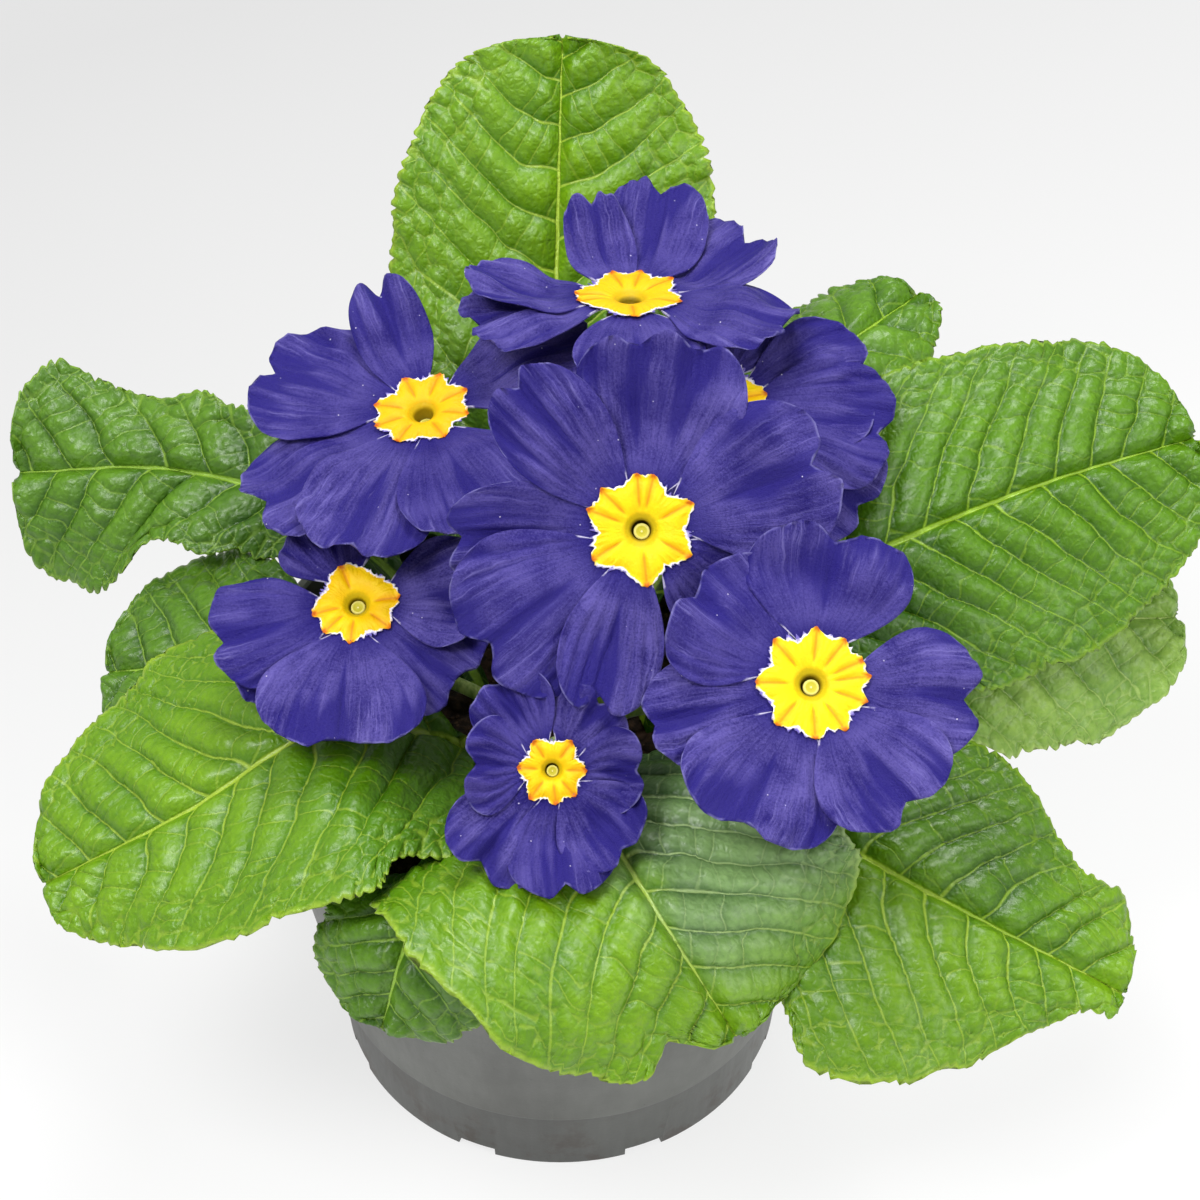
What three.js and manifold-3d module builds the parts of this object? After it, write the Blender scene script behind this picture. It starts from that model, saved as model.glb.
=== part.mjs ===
// A potted primrose: a nursery pot full of potting soil, a rosette of quilted, toothed leaves that
// stand in it by their stalks, and seven blooms of violet petals round a yellow star.
// Millimetres, +Z up. The origin is on the ground, under the middle of the pot's foot.
import * as THREE from "three";
import { mergeVertices } from "three/addons/utils/BufferGeometryUtils.js";
import Module from "manifold-3d";

const wasm = await Module();
wasm.setup();

// ---- The pot and its soil

const POT_SIDES = 28;
const FOOT_RADIUS = 38.3;
const LEDGE_RADIUS = 39.6;
const LEDGE_HEIGHT = 15; // a small ledge just above the foot
const COLLAR_FOOT_RADIUS = 49.5;
const COLLAR_HEIGHT = 67; // where the wall steps out to the collar under the rim
const RIM_RADIUS = 52.5;
const RIM_HEIGHT = 80;
const WALL = 1.4;
const FLOOR_UNDERSIDE = 3;
const FLOOR = 1.6;
const HUB_RADIUS = 11; // a solid pad in the middle of the foot, level with its ring
const FOOT_RING = 3.5;
const CHANNELS = 8; // gaps in the foot ring that let water run off
const DRAIN_HOLES = 4;
const CHANNEL_WIDTH = 7;
const CHANNEL_HEIGHT = 2.2;
const DRAIN_RADIUS = 3.6;
const DRAIN_CIRCLE = 23;
const SOIL_TOP = 71;
const SOIL_GAP = 0.3; // clearance between the soil and the pot
const HOLE_BOTTOM = 63.7; // the stems stand in plain holes in the soil
const HOLE_SIDES = 6;
const STEM_FOOT = 64; // height of every stem's lower end

// ---- Leaves

const BLADE_HALF = 0.36; // half the thickness of a blade
const STALK_HALF_WIDTH = 2.3;
const STALK_DEPTH = 1.5; // how far the stalk and the midrib stand out below the blade
const LEAF_HOLE_RADIUS = 3.3;
const QUILT = 1.3; // how far the blade swells up between two side veins
const TOOTH = 1.6; // depth of the teeth along a leaf's edge
const STALK_SHARE = 0.16; // share of a leaf's rows that lies on its stalk
const WIDE_SHARE = 0.62; // share at which the blade is widest
const LAST_SHARE = 0.98;
const ACROSS = [-1, -0.58, -0.2, 0, 0.2, 0.58, 1];

// Each leaf: the points of its midrib from the soil to the tip, the stalk's length, the half widths
// on the left and the right (looking from the soil to the tip), where along the blade it is widest,
// how blunt its tip and how full its base are (smaller is blunter and fuller), its roll in degrees
// at the base and the tip, the bow of each half in degrees, its edge's waves as [count, phase,
// height], its lobes as [side, place, size, span], the bites out of its tip as [place across, depth,
// span], and its side veins.
const LEAVES = {
  leaf_back: {
    midrib: [[-1, 14.5, 64], [-1, 15, 76], [-1, 44, 93], [-0.5, 72, 112], [0.5, 98, 141]],
    stalk: 22, half: [29, 28], widest: 0.6, blunt: 0.7, full: 0.55, veins: 7,
    roll: [0, 0], bow: [-12, -12], wave: [3, 0.5, 1.0],
  },
  leaf_back_right: {
    midrib: [[9, 11.5, 64], [10, 12.5, 76], [27, 38, 93], [46, 60, 100], [62.5, 78.5, 98]],
    stalk: 28, half: [17, 15], widest: 0.58, blunt: 0.7, full: 0.9, veins: 5,
    roll: [0, 0], bow: [-25, -20], wave: [2, 0.5, 1.5],
  },
  leaf_right: {
    midrib: [[14.5, 3, 64], [15.5, 3, 76], [46, 12, 98], [79, 26, 104], [108, 38, 104]],
    stalk: 30, half: [28, 30], widest: 0.46, blunt: 0.68, full: 0.6, veins: 7,
    roll: [30, 32], bow: [-14, -14], wave: [2, 0.5, 1.2],
  },
  leaf_right_low: {
    midrib: [[23, -3, 64], [24, -3, 75], [46, 3, 86], [76, 13, 84], [106.5, 24, 74]],
    stalk: 24, half: [24, 22], widest: 0.58, blunt: 0.6, full: 0.9, veins: 6,
    roll: [28, 28], bow: [-12, -16], wave: [2, 0.5, 1.2],
    lobes: [[-1, 0.9, -0.2, 0.08]],
  },
  leaf_front_right: {
    midrib: [[11, -9.5, 64], [12, -10.5, 75], [32, -26, 85], [61, -41.5, 79.5], [93, -50, 64]],
    stalk: 26, half: [26, 27], widest: 0.5, blunt: 0.7, full: 0.65, veins: 7,
    roll: [19, 11], bow: [-14, -12], wave: [3, 0.5, 1.2],
    lobes: [[1, 0.62, 0.12, 0.07], [1, 0.79, -0.22, 0.06], [-1, 0.64, 0.33, 0.08], [-1, 0.88, -0.6, 0.1]],
  },
  leaf_front: {
    midrib: [[2.5, -14.5, 64], [3, -15.5, 76], [8, -38.5, 92], [17, -55.5, 90], [29, -65.5, 72.5]],
    stalk: 14, half: [36, 36], widest: 0.42, blunt: 0.75, full: 0.45, veins: 7,
    roll: [6, 0], bow: [-3, 1], wave: [3, 0.5, 1.0],
    lobes: [[-1, 0.6, 0.11, 0.11], [-1, 0.86, -0.12, 0.08], [1, 0.88, 0.28, 0.1]],
    bites: [[-9.8, 6.6, 4.8]],
  },
  leaf_front_left_low: {
    midrib: [[-9, -21, 64], [-9.3, -21.6, 75], [-17, -39, 80], [-24, -54, 83], [-28.5, -60, 68]],
    stalk: 25, half: [17, 16], widest: 0.64, blunt: 0.8, full: 0.9, veins: 5,
    roll: [0, 0], bow: [-12, -12], wave: [2, 0.5, 1.0],
  },
  leaf_left: {
    midrib: [[-12, -8.5, 64], [-13, -9, 76], [-38, -17, 92], [-61, -26, 82], [-85.6, -28.8, 66.5]],
    stalk: 18, half: [28, 29], widest: 0.42, blunt: 0.75, full: 0.35, veins: 7,
    roll: [4, -12], bow: [2, -12], wave: [2, 0.5, 1.0],
    lobes: [[1, 0.3, 0.52, 0.13], [1, 0.58, 0.28, 0.11], [1, 0.86, -0.2, 0.12], [-1, 0.7, 0.2, 0.12]],
  },
  leaf_left_low: {
    midrib: [[-23, 2, 64], [-24, 2, 75], [-43, 3, 86], [-61, 6, 82], [-77, 11, 74.5]],
    stalk: 20, half: [19, 23], widest: 0.6, blunt: 0.7, full: 0.9, veins: 4,
    roll: [-15, -15], bow: [-12, -12], wave: [2, 0.5, 1.2],
  },
  leaf_back_left: {
    midrib: [[-13, 7, 64], [-14, 8, 76], [-40, 28, 95], [-66, 40, 94], [-94, 47, 86]],
    stalk: 30, half: [23, 18], widest: 0.62, blunt: 0.5, full: 0.9, veins: 7,
    roll: [-15, -40], bow: [-12, 10], wave: [2, 0.5, 3.0],
    lobes: [
      [-1, 0.53, -0.3, 0.1], [-1, 0.69, -0.28, 0.08], [-1, 0.84, 0.35, 0.08],
      [1, 0.45, -0.35, 0.1], [1, 0.61, -0.42, 0.08],
    ],
  },
  leaf_back_low_left: {
    midrib: [[-9, 21, 64], [-9.5, 22, 75], [-18, 43, 85], [-28, 62, 80], [-36, 76, 68]],
    stalk: 16, half: [17, 17], widest: 0.58, blunt: 0.8, full: 0.9, veins: 4,
    roll: [0, 0], bow: [-16, -16], wave: [2, 0.5, 1.0],
  },
  leaf_back_low_right: {
    midrib: [[10, 20, 64], [10.5, 21, 75], [22, 43, 84], [34, 60, 79], [42, 74, 67]],
    stalk: 16, half: [16, 16], widest: 0.58, blunt: 0.8, full: 0.9, veins: 4,
    roll: [0, 0], bow: [-16, -16], wave: [2, 0.5, 1.0],
  },
};

// ---- Blooms

const PETAL_HALF = 0.32; // half the thickness of a petal
const PETAL_START = 6.5; // radius at which a petal leaves the ring in the middle
const CLAW_HALF_WIDTH = 3;
const STAR_RADIUS = 9; // tips of the yellow star
const STAR_VALLEY = 6.6;
const CONE_ANGLE = 8; // rise of the middle of a bloom, in degrees
const PETAL_WIDEST = 0.55;
const NOTCH = 0.12; // depth of the notch in a petal's tip, as a share of its length
const NOTCH_SPAN = 0.2;
const LAYER = 0.9; // rise from one layer of petals to the next
const TOP_LAYER = 2;
const PETAL_WAVE = 0.4;
const RING_HOLE = 3.4;
const RING_SIDES = 10;
const RING_TOP = 0.2;
const RING_DEPTH = 2.3;
const STAR_LIFT = 0.8; // underside of the star above the middle of the petals
const STAR_THICKNESS = 0.7;
const THROAT_RADIUS = 2.1;
const THROAT_DEPTH = 5;
const TUBE_TOP_RADIUS = 2.9;
const TUBE_RADIUS = 1.9;
const TUBE_LENGTH = 14;
const CALYX_LENGTH = 13;
const CALYX_DROP = 2.6; // rim of the calyx below the bloom's middle
const CALYX_TOOTH = 2.2;
const CALYX_WALL = 0.8;
const CALYX_TOP_RADIUS = 4.2;
const CALYX_BASE_RADIUS = 2.4;
const STEM_RADIUS = 1.2;
const STEM_STEPS = 3;
const STEM_BEND = 73; // height at which a stem leaves the upright
const CALYX_SIDES = 10;
const STEM_HOLE_RADIUS = 1.8;
const STIGMA_RADIUS = 1.2;
const STYLE_RADIUS = 0.4;
const PETAL_ROWS = [0, 0.18, 0.55, 1];
const PETAL_ACROSS = [-1, -0.66, -0.33, 0, 0.33, 0.66, 1];

// Each bloom: where its stem leaves the soil, the middle of its star, the way it faces, its star's
// scale, and its petals as [direction in degrees, length, half width, lift in degrees, roll in
// degrees, layer, places of its notches], where layer 2 lies on top and a petal that gives no notches
// has one in the middle.
const BLOOMS = {
  bloom_centre: {
    foot: [2, 0], at: [13.6, -6.5, 129], facing: [0, -0.669, 0.743], eye: 1,
    petals: [
      [131, 33, 8.8, 14, 0, 2], [82, 33, 14, 15, 0, 0, [-0.33, 0.33]], [21, 33, 13, 9, 0, 2],
      [183, 32, 9, 6, -15, 0], [217, 34, 14, 10, 0, 1], [256, 31, 8.4, 11, 0, 2], [322, 20, 8, -14, 0, 0],
    ],
  },
  bloom_right: {
    foot: [6.5, -4], at: [40.5, -30.5, 118.5], facing: [0.1, -0.45, 0.9], eye: 1,
    petals: [
      [81, 25.5, 13.5, 14, 0, 2], [144, 25, 12, 12, 0, 1], [196, 28, 9, 2, 0, 0],
      [244, 28, 13.5, 10, 0, 1], [307, 27, 11.5, 12, 0, 2], [356, 27, 11, 6, 0, 0],
    ],
  },
  bloom_left: {
    foot: [-4.5, 4.5], at: [-22.4, 28, 120], facing: [-0.15, 0, 0.99], eye: 0.9,
    petals: [
      [156, 31, 13, 6, 0, 1], [107, 27, 6.5, 20, 0, 2], [26, 33, 11, 2, 0, 1],
      [212, 34, 12, 0, 0, 0], [247, 33, 12, 2, 0, 1], [294, 31, 12, 2, 0, 2],
    ],
  },
  bloom_lower_left: {
    foot: [-6.5, -2], at: [-32.8, -4, 108], facing: [-0.1, -0.3, 0.95], eye: 0.8,
    petals: [
      [112, 18, 9, 2, 0, 0], [194, 25, 10, 4, 0, 1], [224, 24, 10, -4, 0, 0],
      [263, 26.5, 14, 5, 0, 2], [320, 22.5, 12, -4, 0, 0], [5, 21, 10, 8, 0, 1],
    ],
  },
  bloom_front: {
    foot: [-0.5, -7], at: [-0.7, -36, 104.2], facing: [0, -0.669, 0.743], eye: 0.62,
    petals: [
      [122, 18, 7, 8, 0, 1], [175, 14, 8, 25, 0, 2], [232, 21, 9, 22, 0, 0], [277, 20, 9, 24, 0, 1],
      [312, 18, 8, 24, 0, 2], [0, 15, 7, 20, 0, 1], [55, 15, 7, 12, 0, 0],
    ],
  },
  bloom_back: {
    foot: [2, 7], at: [12, 45.5, 129], facing: [0, 0.34, 0.94], eye: 1,
    petals: [
      [179, 28, 9, 12, 0, 1], [197, 29, 10, -2, 0, 0], [109, 22, 6, 35, 0, 2], [78, 28.5, 9.5, 27, 0, 1],
      [41, 28.5, 11, 18, 0, 0], [340, 29, 12, 0, 0, 1], [275, 25, 11, 0, 0, 0],
    ],
  },
  bloom_back_right: {
    foot: [7, 3], at: [25.8, 30, 120], facing: [0.1, -0.4, 0.9], eye: 1,
    petals: [
      [13, 28, 12, 4, 0, 1], [352, 31, 12, 2, 0, 2], [327, 32.5, 12, 0, 0, 0],
      [75, 18, 9, -8, 0, 0], [138, 12.5, 7, 15, 0, 1], [206, 24, 9, 0, 0, 0], [272, 25, 11, 0, 0, 1],
    ],
  },
};

// ---- Materials

const material = (color, roughness) =>
  new THREE.MeshStandardMaterial({ color, roughness, metalness: 0 });
const POT_PLASTIC = material(0x53544f, 0.5);
const SOIL = material(0x2e2219, 0.95);
const LEAF_GREEN = material(0x6aa52c, 0.45);
const PETAL_VIOLET = material(0x3b2f8f, 0.65);
const STAR_YELLOW = material(0xffd400, 0.6);
const STEM_GREEN = material(0x8fae55, 0.6);
const STIGMA_GREEN = material(0xcfd77a, 0.6);

// ---- Small helpers

const radians = THREE.MathUtils.degToRad;
const clamp01 = (x) => THREE.MathUtils.clamp(x, 0, 1);
const mix = THREE.MathUtils.lerp;
const ease = (x) => THREE.MathUtils.smoothstep(x, 0, 1);
const vector = ([x, y, z]) => new THREE.Vector3(x, y, z);

// The closed solid of a geometry whose faces share their corners, for joins and cuts.
function solidOf(geometry) {
  const bare = new THREE.BufferGeometry().setAttribute(
    "position",
    geometry.getAttribute("position"),
  );
  if (geometry.index) bare.setIndex(geometry.index);
  const merged = mergeVertices(bare, 1e-4);
  return new wasm.Manifold(
    new wasm.Mesh({
      numProp: 3,
      vertProperties: new Float32Array(merged.getAttribute("position").array),
      triVerts: new Uint32Array(merged.index.array),
    }),
  );
}

function geometryOf(solid) {
  const mesh = solid.getMesh();
  return new THREE.BufferGeometry()
    .setAttribute("position", new THREE.BufferAttribute(mesh.vertProperties, 3))
    .setIndex(new THREE.BufferAttribute(mesh.triVerts, 1));
}

// A closed solid through rings of points: the rings are joined in turn and the ends are capped.
function loft(rings) {
  const sides = rings[0].length;
  const positions = rings.flat().flatMap((p) => [p.x, p.y, p.z]);
  const faces = [];
  for (let ring = 0; ring + 1 < rings.length; ring++) {
    for (let side = 0; side < sides; side++) {
      const a = ring * sides + side;
      const b = ring * sides + ((side + 1) % sides);
      faces.push(a, b, b + sides, a, b + sides, a + sides);
    }
  }
  const last = (rings.length - 1) * sides;
  for (let side = 1; side + 1 < sides; side++) {
    faces.push(0, side + 1, side);
    faces.push(last, last + side, last + side + 1);
  }
  return new THREE.BufferGeometry()
    .setAttribute("position", new THREE.Float32BufferAttribute(positions, 3))
    .setIndex(faces);
}

// A closed blade round a middle surface: rows of points, with a depth above and below each point.
// Both faces are split into triangles alike, so that they never cross.
function blade(rows, above, below) {
  const last = rows.length - 1;
  const width = rows[0].length;
  const normalAt = (i, j) => {
    const along = rows[Math.min(i + 1, last)][j].clone().sub(rows[Math.max(i - 1, 0)][j]);
    const across = rows[i][Math.min(j + 1, width - 1)].clone().sub(rows[i][Math.max(j - 1, 0)]);
    return along.cross(across).normalize();
  };
  const positions = [];
  for (const [depth, sign] of [[above, 1], [below, -1]]) {
    rows.forEach((row, i) => {
      row.forEach((point, j) => {
        const p = normalAt(i, j).multiplyScalar(sign * depth(i, j)).add(point);
        positions.push(p.x, p.y, p.z);
      });
    });
  }
  const size = rows.length * width;
  const faces = [];
  const quad = (a, b, c, d) => faces.push(a, b, c, a, c, d);
  for (let i = 0; i < last; i++) {
    for (let j = 0; j + 1 < width; j++) {
      const a = i * width + j;
      const b = a + width;
      quad(a, b, b + 1, a + 1);
      faces.push(size + a, size + b + 1, size + b, size + a, size + a + 1, size + b + 1);
    }
  }
  for (let i = 0; i < last; i++) {
    const left = i * width;
    const right = left + width - 1;
    quad(left, size + left, size + left + width, left + width);
    quad(right, right + width, size + right + width, size + right);
  }
  for (let j = 0; j + 1 < width; j++) {
    const tip = last * width + j;
    quad(j, j + 1, size + j + 1, size + j);
    quad(tip, size + tip, size + tip + 1, tip + 1);
  }
  return new THREE.BufferGeometry()
    .setAttribute("position", new THREE.Float32BufferAttribute(positions, 3))
    .setIndex(faces);
}

// ---- Pot

function lathe(profile, sides) {
  const points = profile.map(([r, z]) => new THREE.Vector2(r, z));
  return new THREE.LatheGeometry(points, sides).rotateX(Math.PI / 2);
}

function drainChannel(angle) {
  const inner = HUB_RADIUS;
  const outer = FOOT_RADIUS + 5;
  return new THREE.BoxGeometry(outer - inner, CHANNEL_WIDTH, CHANNEL_HEIGHT * 2)
    .translate((inner + outer) / 2, 0, 0)
    .rotateZ(angle);
}

function drainHole(angle) {
  return new THREE.CylinderGeometry(DRAIN_RADIUS, DRAIN_RADIUS, 20, 8)
    .rotateX(Math.PI / 2)
    .translate(DRAIN_CIRCLE, 0, 0)
    .rotateZ(angle);
}

function pot() {
  const floorTop = FLOOR_UNDERSIDE + FLOOR;
  const ringInside = FOOT_RADIUS - FOOT_RING;
  const angleOf = (k, count) => ((k + 0.5) * 2 * Math.PI) / count;
  let solid = solidOf(
    lathe(
      [
        [0, 0],
        [HUB_RADIUS, 0],
        [HUB_RADIUS, FLOOR_UNDERSIDE],
        [ringInside, FLOOR_UNDERSIDE],
        [ringInside, 0],
        [FOOT_RADIUS, 0],
        [LEDGE_RADIUS, LEDGE_HEIGHT],
        [LEDGE_RADIUS + 0.8, LEDGE_HEIGHT + 1],
        [COLLAR_FOOT_RADIUS, COLLAR_HEIGHT],
        [RIM_RADIUS - 0.8, COLLAR_HEIGHT + 1],
        [RIM_RADIUS, RIM_HEIGHT - 1],
        [RIM_RADIUS - 0.6, RIM_HEIGHT],
        [RIM_RADIUS - 2, RIM_HEIGHT - 0.4],
        [RIM_RADIUS - 2.3, COLLAR_HEIGHT + 2],
        [COLLAR_FOOT_RADIUS - WALL, COLLAR_HEIGHT],
        [LEDGE_RADIUS - WALL, LEDGE_HEIGHT],
        [LEDGE_RADIUS - WALL - 0.6, floorTop],
        [0, floorTop],
      ],
      POT_SIDES,
    ),
  );
  for (let k = 0; k < CHANNELS; k++)
    solid = solid.subtract(solidOf(drainChannel(angleOf(k, CHANNELS))));
  for (let k = 0; k < DRAIN_HOLES; k++)
    solid = solid.subtract(solidOf(drainHole(angleOf(k, DRAIN_HOLES))));
  return geometryOf(solid);
}

// ---- Soil

// The soil's surface: low heaps and hollows.
function soilHeight(x, y) {
  const heaps = 0.8 * Math.sin(0.31 * x + 1.3) * Math.cos(0.27 * y - 0.6);
  return SOIL_TOP + heaps + 0.5 * Math.sin(0.7 * x - 0.5 * y);
}

function hole([x, y], radius) {
  const height = RIM_HEIGHT - HOLE_BOTTOM;
  return new THREE.CylinderGeometry(radius, radius, height, HOLE_SIDES)
    .rotateX(Math.PI / 2)
    .translate(x, y, HOLE_BOTTOM + height / 2);
}

function soil() {
  const bottom = FLOOR_UNDERSIDE + FLOOR + SOIL_GAP;
  const inset = WALL + SOIL_GAP + 0.2;
  const shoulder = COLLAR_HEIGHT - 1;
  const heap = lathe(
    [
      [0, bottom],
      [LEDGE_RADIUS - 0.6 - inset, bottom],
      [LEDGE_RADIUS - inset, LEDGE_HEIGHT],
      [COLLAR_FOOT_RADIUS - 0.3 - inset, shoulder],
      [COLLAR_FOOT_RADIUS - 0.3 - inset, SOIL_TOP],
      [30, SOIL_TOP],
      [0, SOIL_TOP],
    ],
    POT_SIDES,
  );
  const position = heap.getAttribute("position");
  for (let i = 0; i < position.count; i++) {
    if (position.getZ(i) > COLLAR_HEIGHT)
      position.setZ(i, soilHeight(position.getX(i), position.getY(i)));
  }
  let solid = solidOf(heap);
  for (const leaf of Object.values(LEAVES))
    solid = solid.subtract(solidOf(hole(leaf.midrib[0], LEAF_HOLE_RADIUS)));
  for (const bloom of Object.values(BLOOMS))
    solid = solid.subtract(solidOf(hole(bloom.foot, STEM_HOLE_RADIUS)));
  return geometryOf(solid);
}

// ---- Leaves

// The half width of a leaf and the place along it that its row at share t reaches at the edge.
function leafOutline(leaf, bladeLength, t, side) {
  if (t < STALK_SHARE) return [STALK_HALF_WIDTH, -leaf.stalk * (1 - t / STALK_SHARE)];
  const half = leaf.half[side > 0 ? 0 : 1];
  let width;
  let reach;
  if (t < WIDE_SHARE) {
    const rise = (t - STALK_SHARE) / (WIDE_SHARE - STALK_SHARE);
    width = mix(STALK_HALF_WIDTH, half, ease(rise) ** leaf.full);
    reach = leaf.widest * bladeLength * rise;
  } else {
    const turn = (((t - WIDE_SHARE) / (1 - WIDE_SHARE)) * Math.PI) / 2;
    width = half * Math.cos(turn) ** leaf.blunt;
    reach = bladeLength * (leaf.widest + (1 - leaf.widest) * Math.sin(turn));
  }
  for (const [lobeSide, place, size, span] of leaf.lobes ?? [])
    if (lobeSide === side) width *= 1 + size * Math.exp(-(((t - place) / span) ** 2));
  return [width, reach];
}

// The blade's middle surface at row t and place v across, from -1 on the right to 1 on the left.
function leafPoint(leaf, curve, t, v) {
  const length = curve.getLength();
  const bladeLength = length - leaf.stalk;
  const side = v < 0 ? -1 : 1;
  const [edge, reach] = leafOutline(leaf, bladeLength, t, side);
  const late = clamp01((t - WIDE_SHARE) / (1 - WIDE_SHARE));
  // the rows follow the side veins, which leave the midrib behind the place they reach at the edge
  const lag = t < STALK_SHARE ? 0 : 0.5 * (edge - STALK_HALF_WIDTH) * (1 - late ** 3);
  let place = reach - lag * (1 - Math.abs(v) ** 1.2);
  for (const [middle, depth, span] of leaf.bites ?? [])
    place -= depth * Math.exp(-(((edge * v - middle) / span) ** 2)) * ease((t - 0.7) / 0.25);
  const share = clamp01((leaf.stalk + place) / length);
  const tangent = curve.getTangentAt(share);
  const tip = vector(leaf.midrib.at(-1)).sub(vector(leaf.midrib[0]));
  const left = new THREE.Vector3(-tip.y, tip.x, 0).normalize();
  left.addScaledVector(tangent, -left.dot(tangent)).normalize();
  const up = tangent.clone().cross(left);
  const along = clamp01(place / bladeLength);
  const roll = radians(mix(leaf.roll[0], leaf.roll[1], along)) * ease(along * 3);
  const bend = radians(leaf.bow[side > 0 ? 0 : 1]) / leaf.half[side > 0 ? 0 : 1];
  const vein = clamp01((t - STALK_SHARE) / (1 - STALK_SHARE)) * leaf.veins;
  const quilt = Math.abs(Math.sin(Math.PI * vein));
  const inBlade = ease((t - STALK_SHARE) * 6);
  const out = (edge + TOOTH * (quilt - 0.5) * inBlade * (Math.abs(v) === 1)) * Math.abs(v);
  const across = (Math.sin(bend * out) / bend) * side;
  const [waves, phase, height] = leaf.wave;
  const ripple =
    height * v * v * ease(along * 2) * Math.sin(2 * Math.PI * waves * t + phase + (side > 0 ? 0 : 1.7));
  const relief = QUILT * quilt * inBlade * Math.min(1, 4 * Math.abs(v)) * (1 - 0.7 * v ** 4);
  const rise = (1 - Math.cos(bend * out)) / bend + ripple + relief;
  const sideways = across * Math.cos(roll) - rise * Math.sin(roll);
  const upward = across * Math.sin(roll) + rise * Math.cos(roll);
  return curve.getPointAt(share).addScaledVector(left, sideways).addScaledVector(up, upward);
}

function leafRows(veins) {
  const stalkRows = [0, 0.07, 0.12];
  const bladeRows = Array.from({ length: 2 * veins + 1 }, (_, k) =>
    Math.min(LAST_SHARE, mix(STALK_SHARE, 1, k / (2 * veins))),
  );
  return [...stalkRows, ...bladeRows];
}

function leafGeometry(leaf) {
  const curve = new THREE.CatmullRomCurve3(leaf.midrib.map(vector), false, "centripetal");
  curve.arcLengthDivisions = 400;
  const shares = leafRows(leaf.veins);
  const rows = shares.map((t) => ACROSS.map((v) => leafPoint(leaf, curve, t, v)));
  const ribDepth = (i, j) => {
    const t = shares[i];
    const reach = mix(1.15, 0.2, ease((t - 0.1) * 5));
    const thick = STALK_DEPTH * mix(1, 0.25, clamp01((t - STALK_SHARE) / (1 - STALK_SHARE)));
    return BLADE_HALF + thick * Math.max(0, 1 - Math.abs(ACROSS[j]) / reach);
  };
  return blade(rows, () => BLADE_HALF, ribDepth);
}

// ---- Blooms

// The frame of a bloom: to its right, to its top, and the way it faces.
function bloomFrame(bloom) {
  const facing = vector(bloom.facing).normalize();
  const right = new THREE.Vector3(1, 0, 0);
  right.addScaledVector(facing, -right.dot(facing)).normalize();
  return new THREE.Matrix4()
    .makeBasis(right, facing.clone().cross(right), facing)
    .setPosition(vector(bloom.at));
}

// A petal's middle surface in its bloom's frame, at row t from the claw to the rim and place v across.
function petalPoint([direction, length, half, lift, roll, layer, notches = [0]], eye, t, v) {
  const star = STAR_RADIUS * eye;
  const start = PETAL_START * eye;
  const widest = mix(start, length, PETAL_WIDEST);
  const round = Math.sqrt(Math.max(0, 1 - v * v)) ** 0.8;
  const cut = notches.reduce((sum, place) => sum + Math.exp(-(((v - place) / NOTCH_SPAN) ** 2)), 0);
  const notch = NOTCH * (length - start) * cut;
  const reach = mix(start, widest + (length - widest) * round - notch, t);
  const claw = (CLAW_HALF_WIDTH * eye) / half;
  const across = half * v * mix(claw, 1, Math.sin((Math.PI / 2) * t));
  const free = ease(clamp01((reach - star) / (0.55 * length)));
  const cone = Math.tan(radians(CONE_ANGLE));
  const slope = mix(cone, Math.tan(radians(lift)), free);
  const wave = PETAL_WAVE * free * Math.sin(5 * v) * (0.4 + 0.6 * t);
  const tilt = radians(roll) * free;
  const sideways = across * Math.cos(tilt) - wave * Math.sin(tilt);
  const height =
    cone * Math.min(reach, star) +
    slope * Math.max(reach - star, 0) +
    LAYER * (layer - TOP_LAYER) +
    across * Math.sin(tilt) +
    wave * Math.cos(tilt);
  const angle = radians(direction);
  return new THREE.Vector3(
    reach * Math.cos(angle) - sideways * Math.sin(angle),
    reach * Math.sin(angle) + sideways * Math.cos(angle),
    height,
  );
}

function petalGeometry(petal, eye) {
  const rows = PETAL_ROWS.map((t) => PETAL_ACROSS.map((v) => petalPoint(petal, eye, t, v)));
  return blade(rows, () => PETAL_HALF, () => PETAL_HALF);
}

const coneHeight = (radius) => radius * Math.tan(radians(CONE_ANGLE));

// The violet part of a bloom: its petals, joined to a ring round the throat.
function corollaGeometry(bloom) {
  const outer = (PETAL_START + 1.5) * bloom.eye;
  const inner = RING_HOLE;
  let solid = solidOf(
    lathe(
      [
        [inner, coneHeight(inner) - RING_DEPTH],
        [outer, coneHeight(outer) - RING_DEPTH],
        [outer, coneHeight(outer) + RING_TOP],
        [inner, coneHeight(inner) + RING_TOP],
        [inner, coneHeight(inner) - RING_DEPTH],
      ],
      RING_SIDES,
    ),
  );
  for (const petal of bloom.petals) solid = solid.add(solidOf(petalGeometry(petal, bloom.eye)));
  return geometryOf(solid);
}

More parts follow.
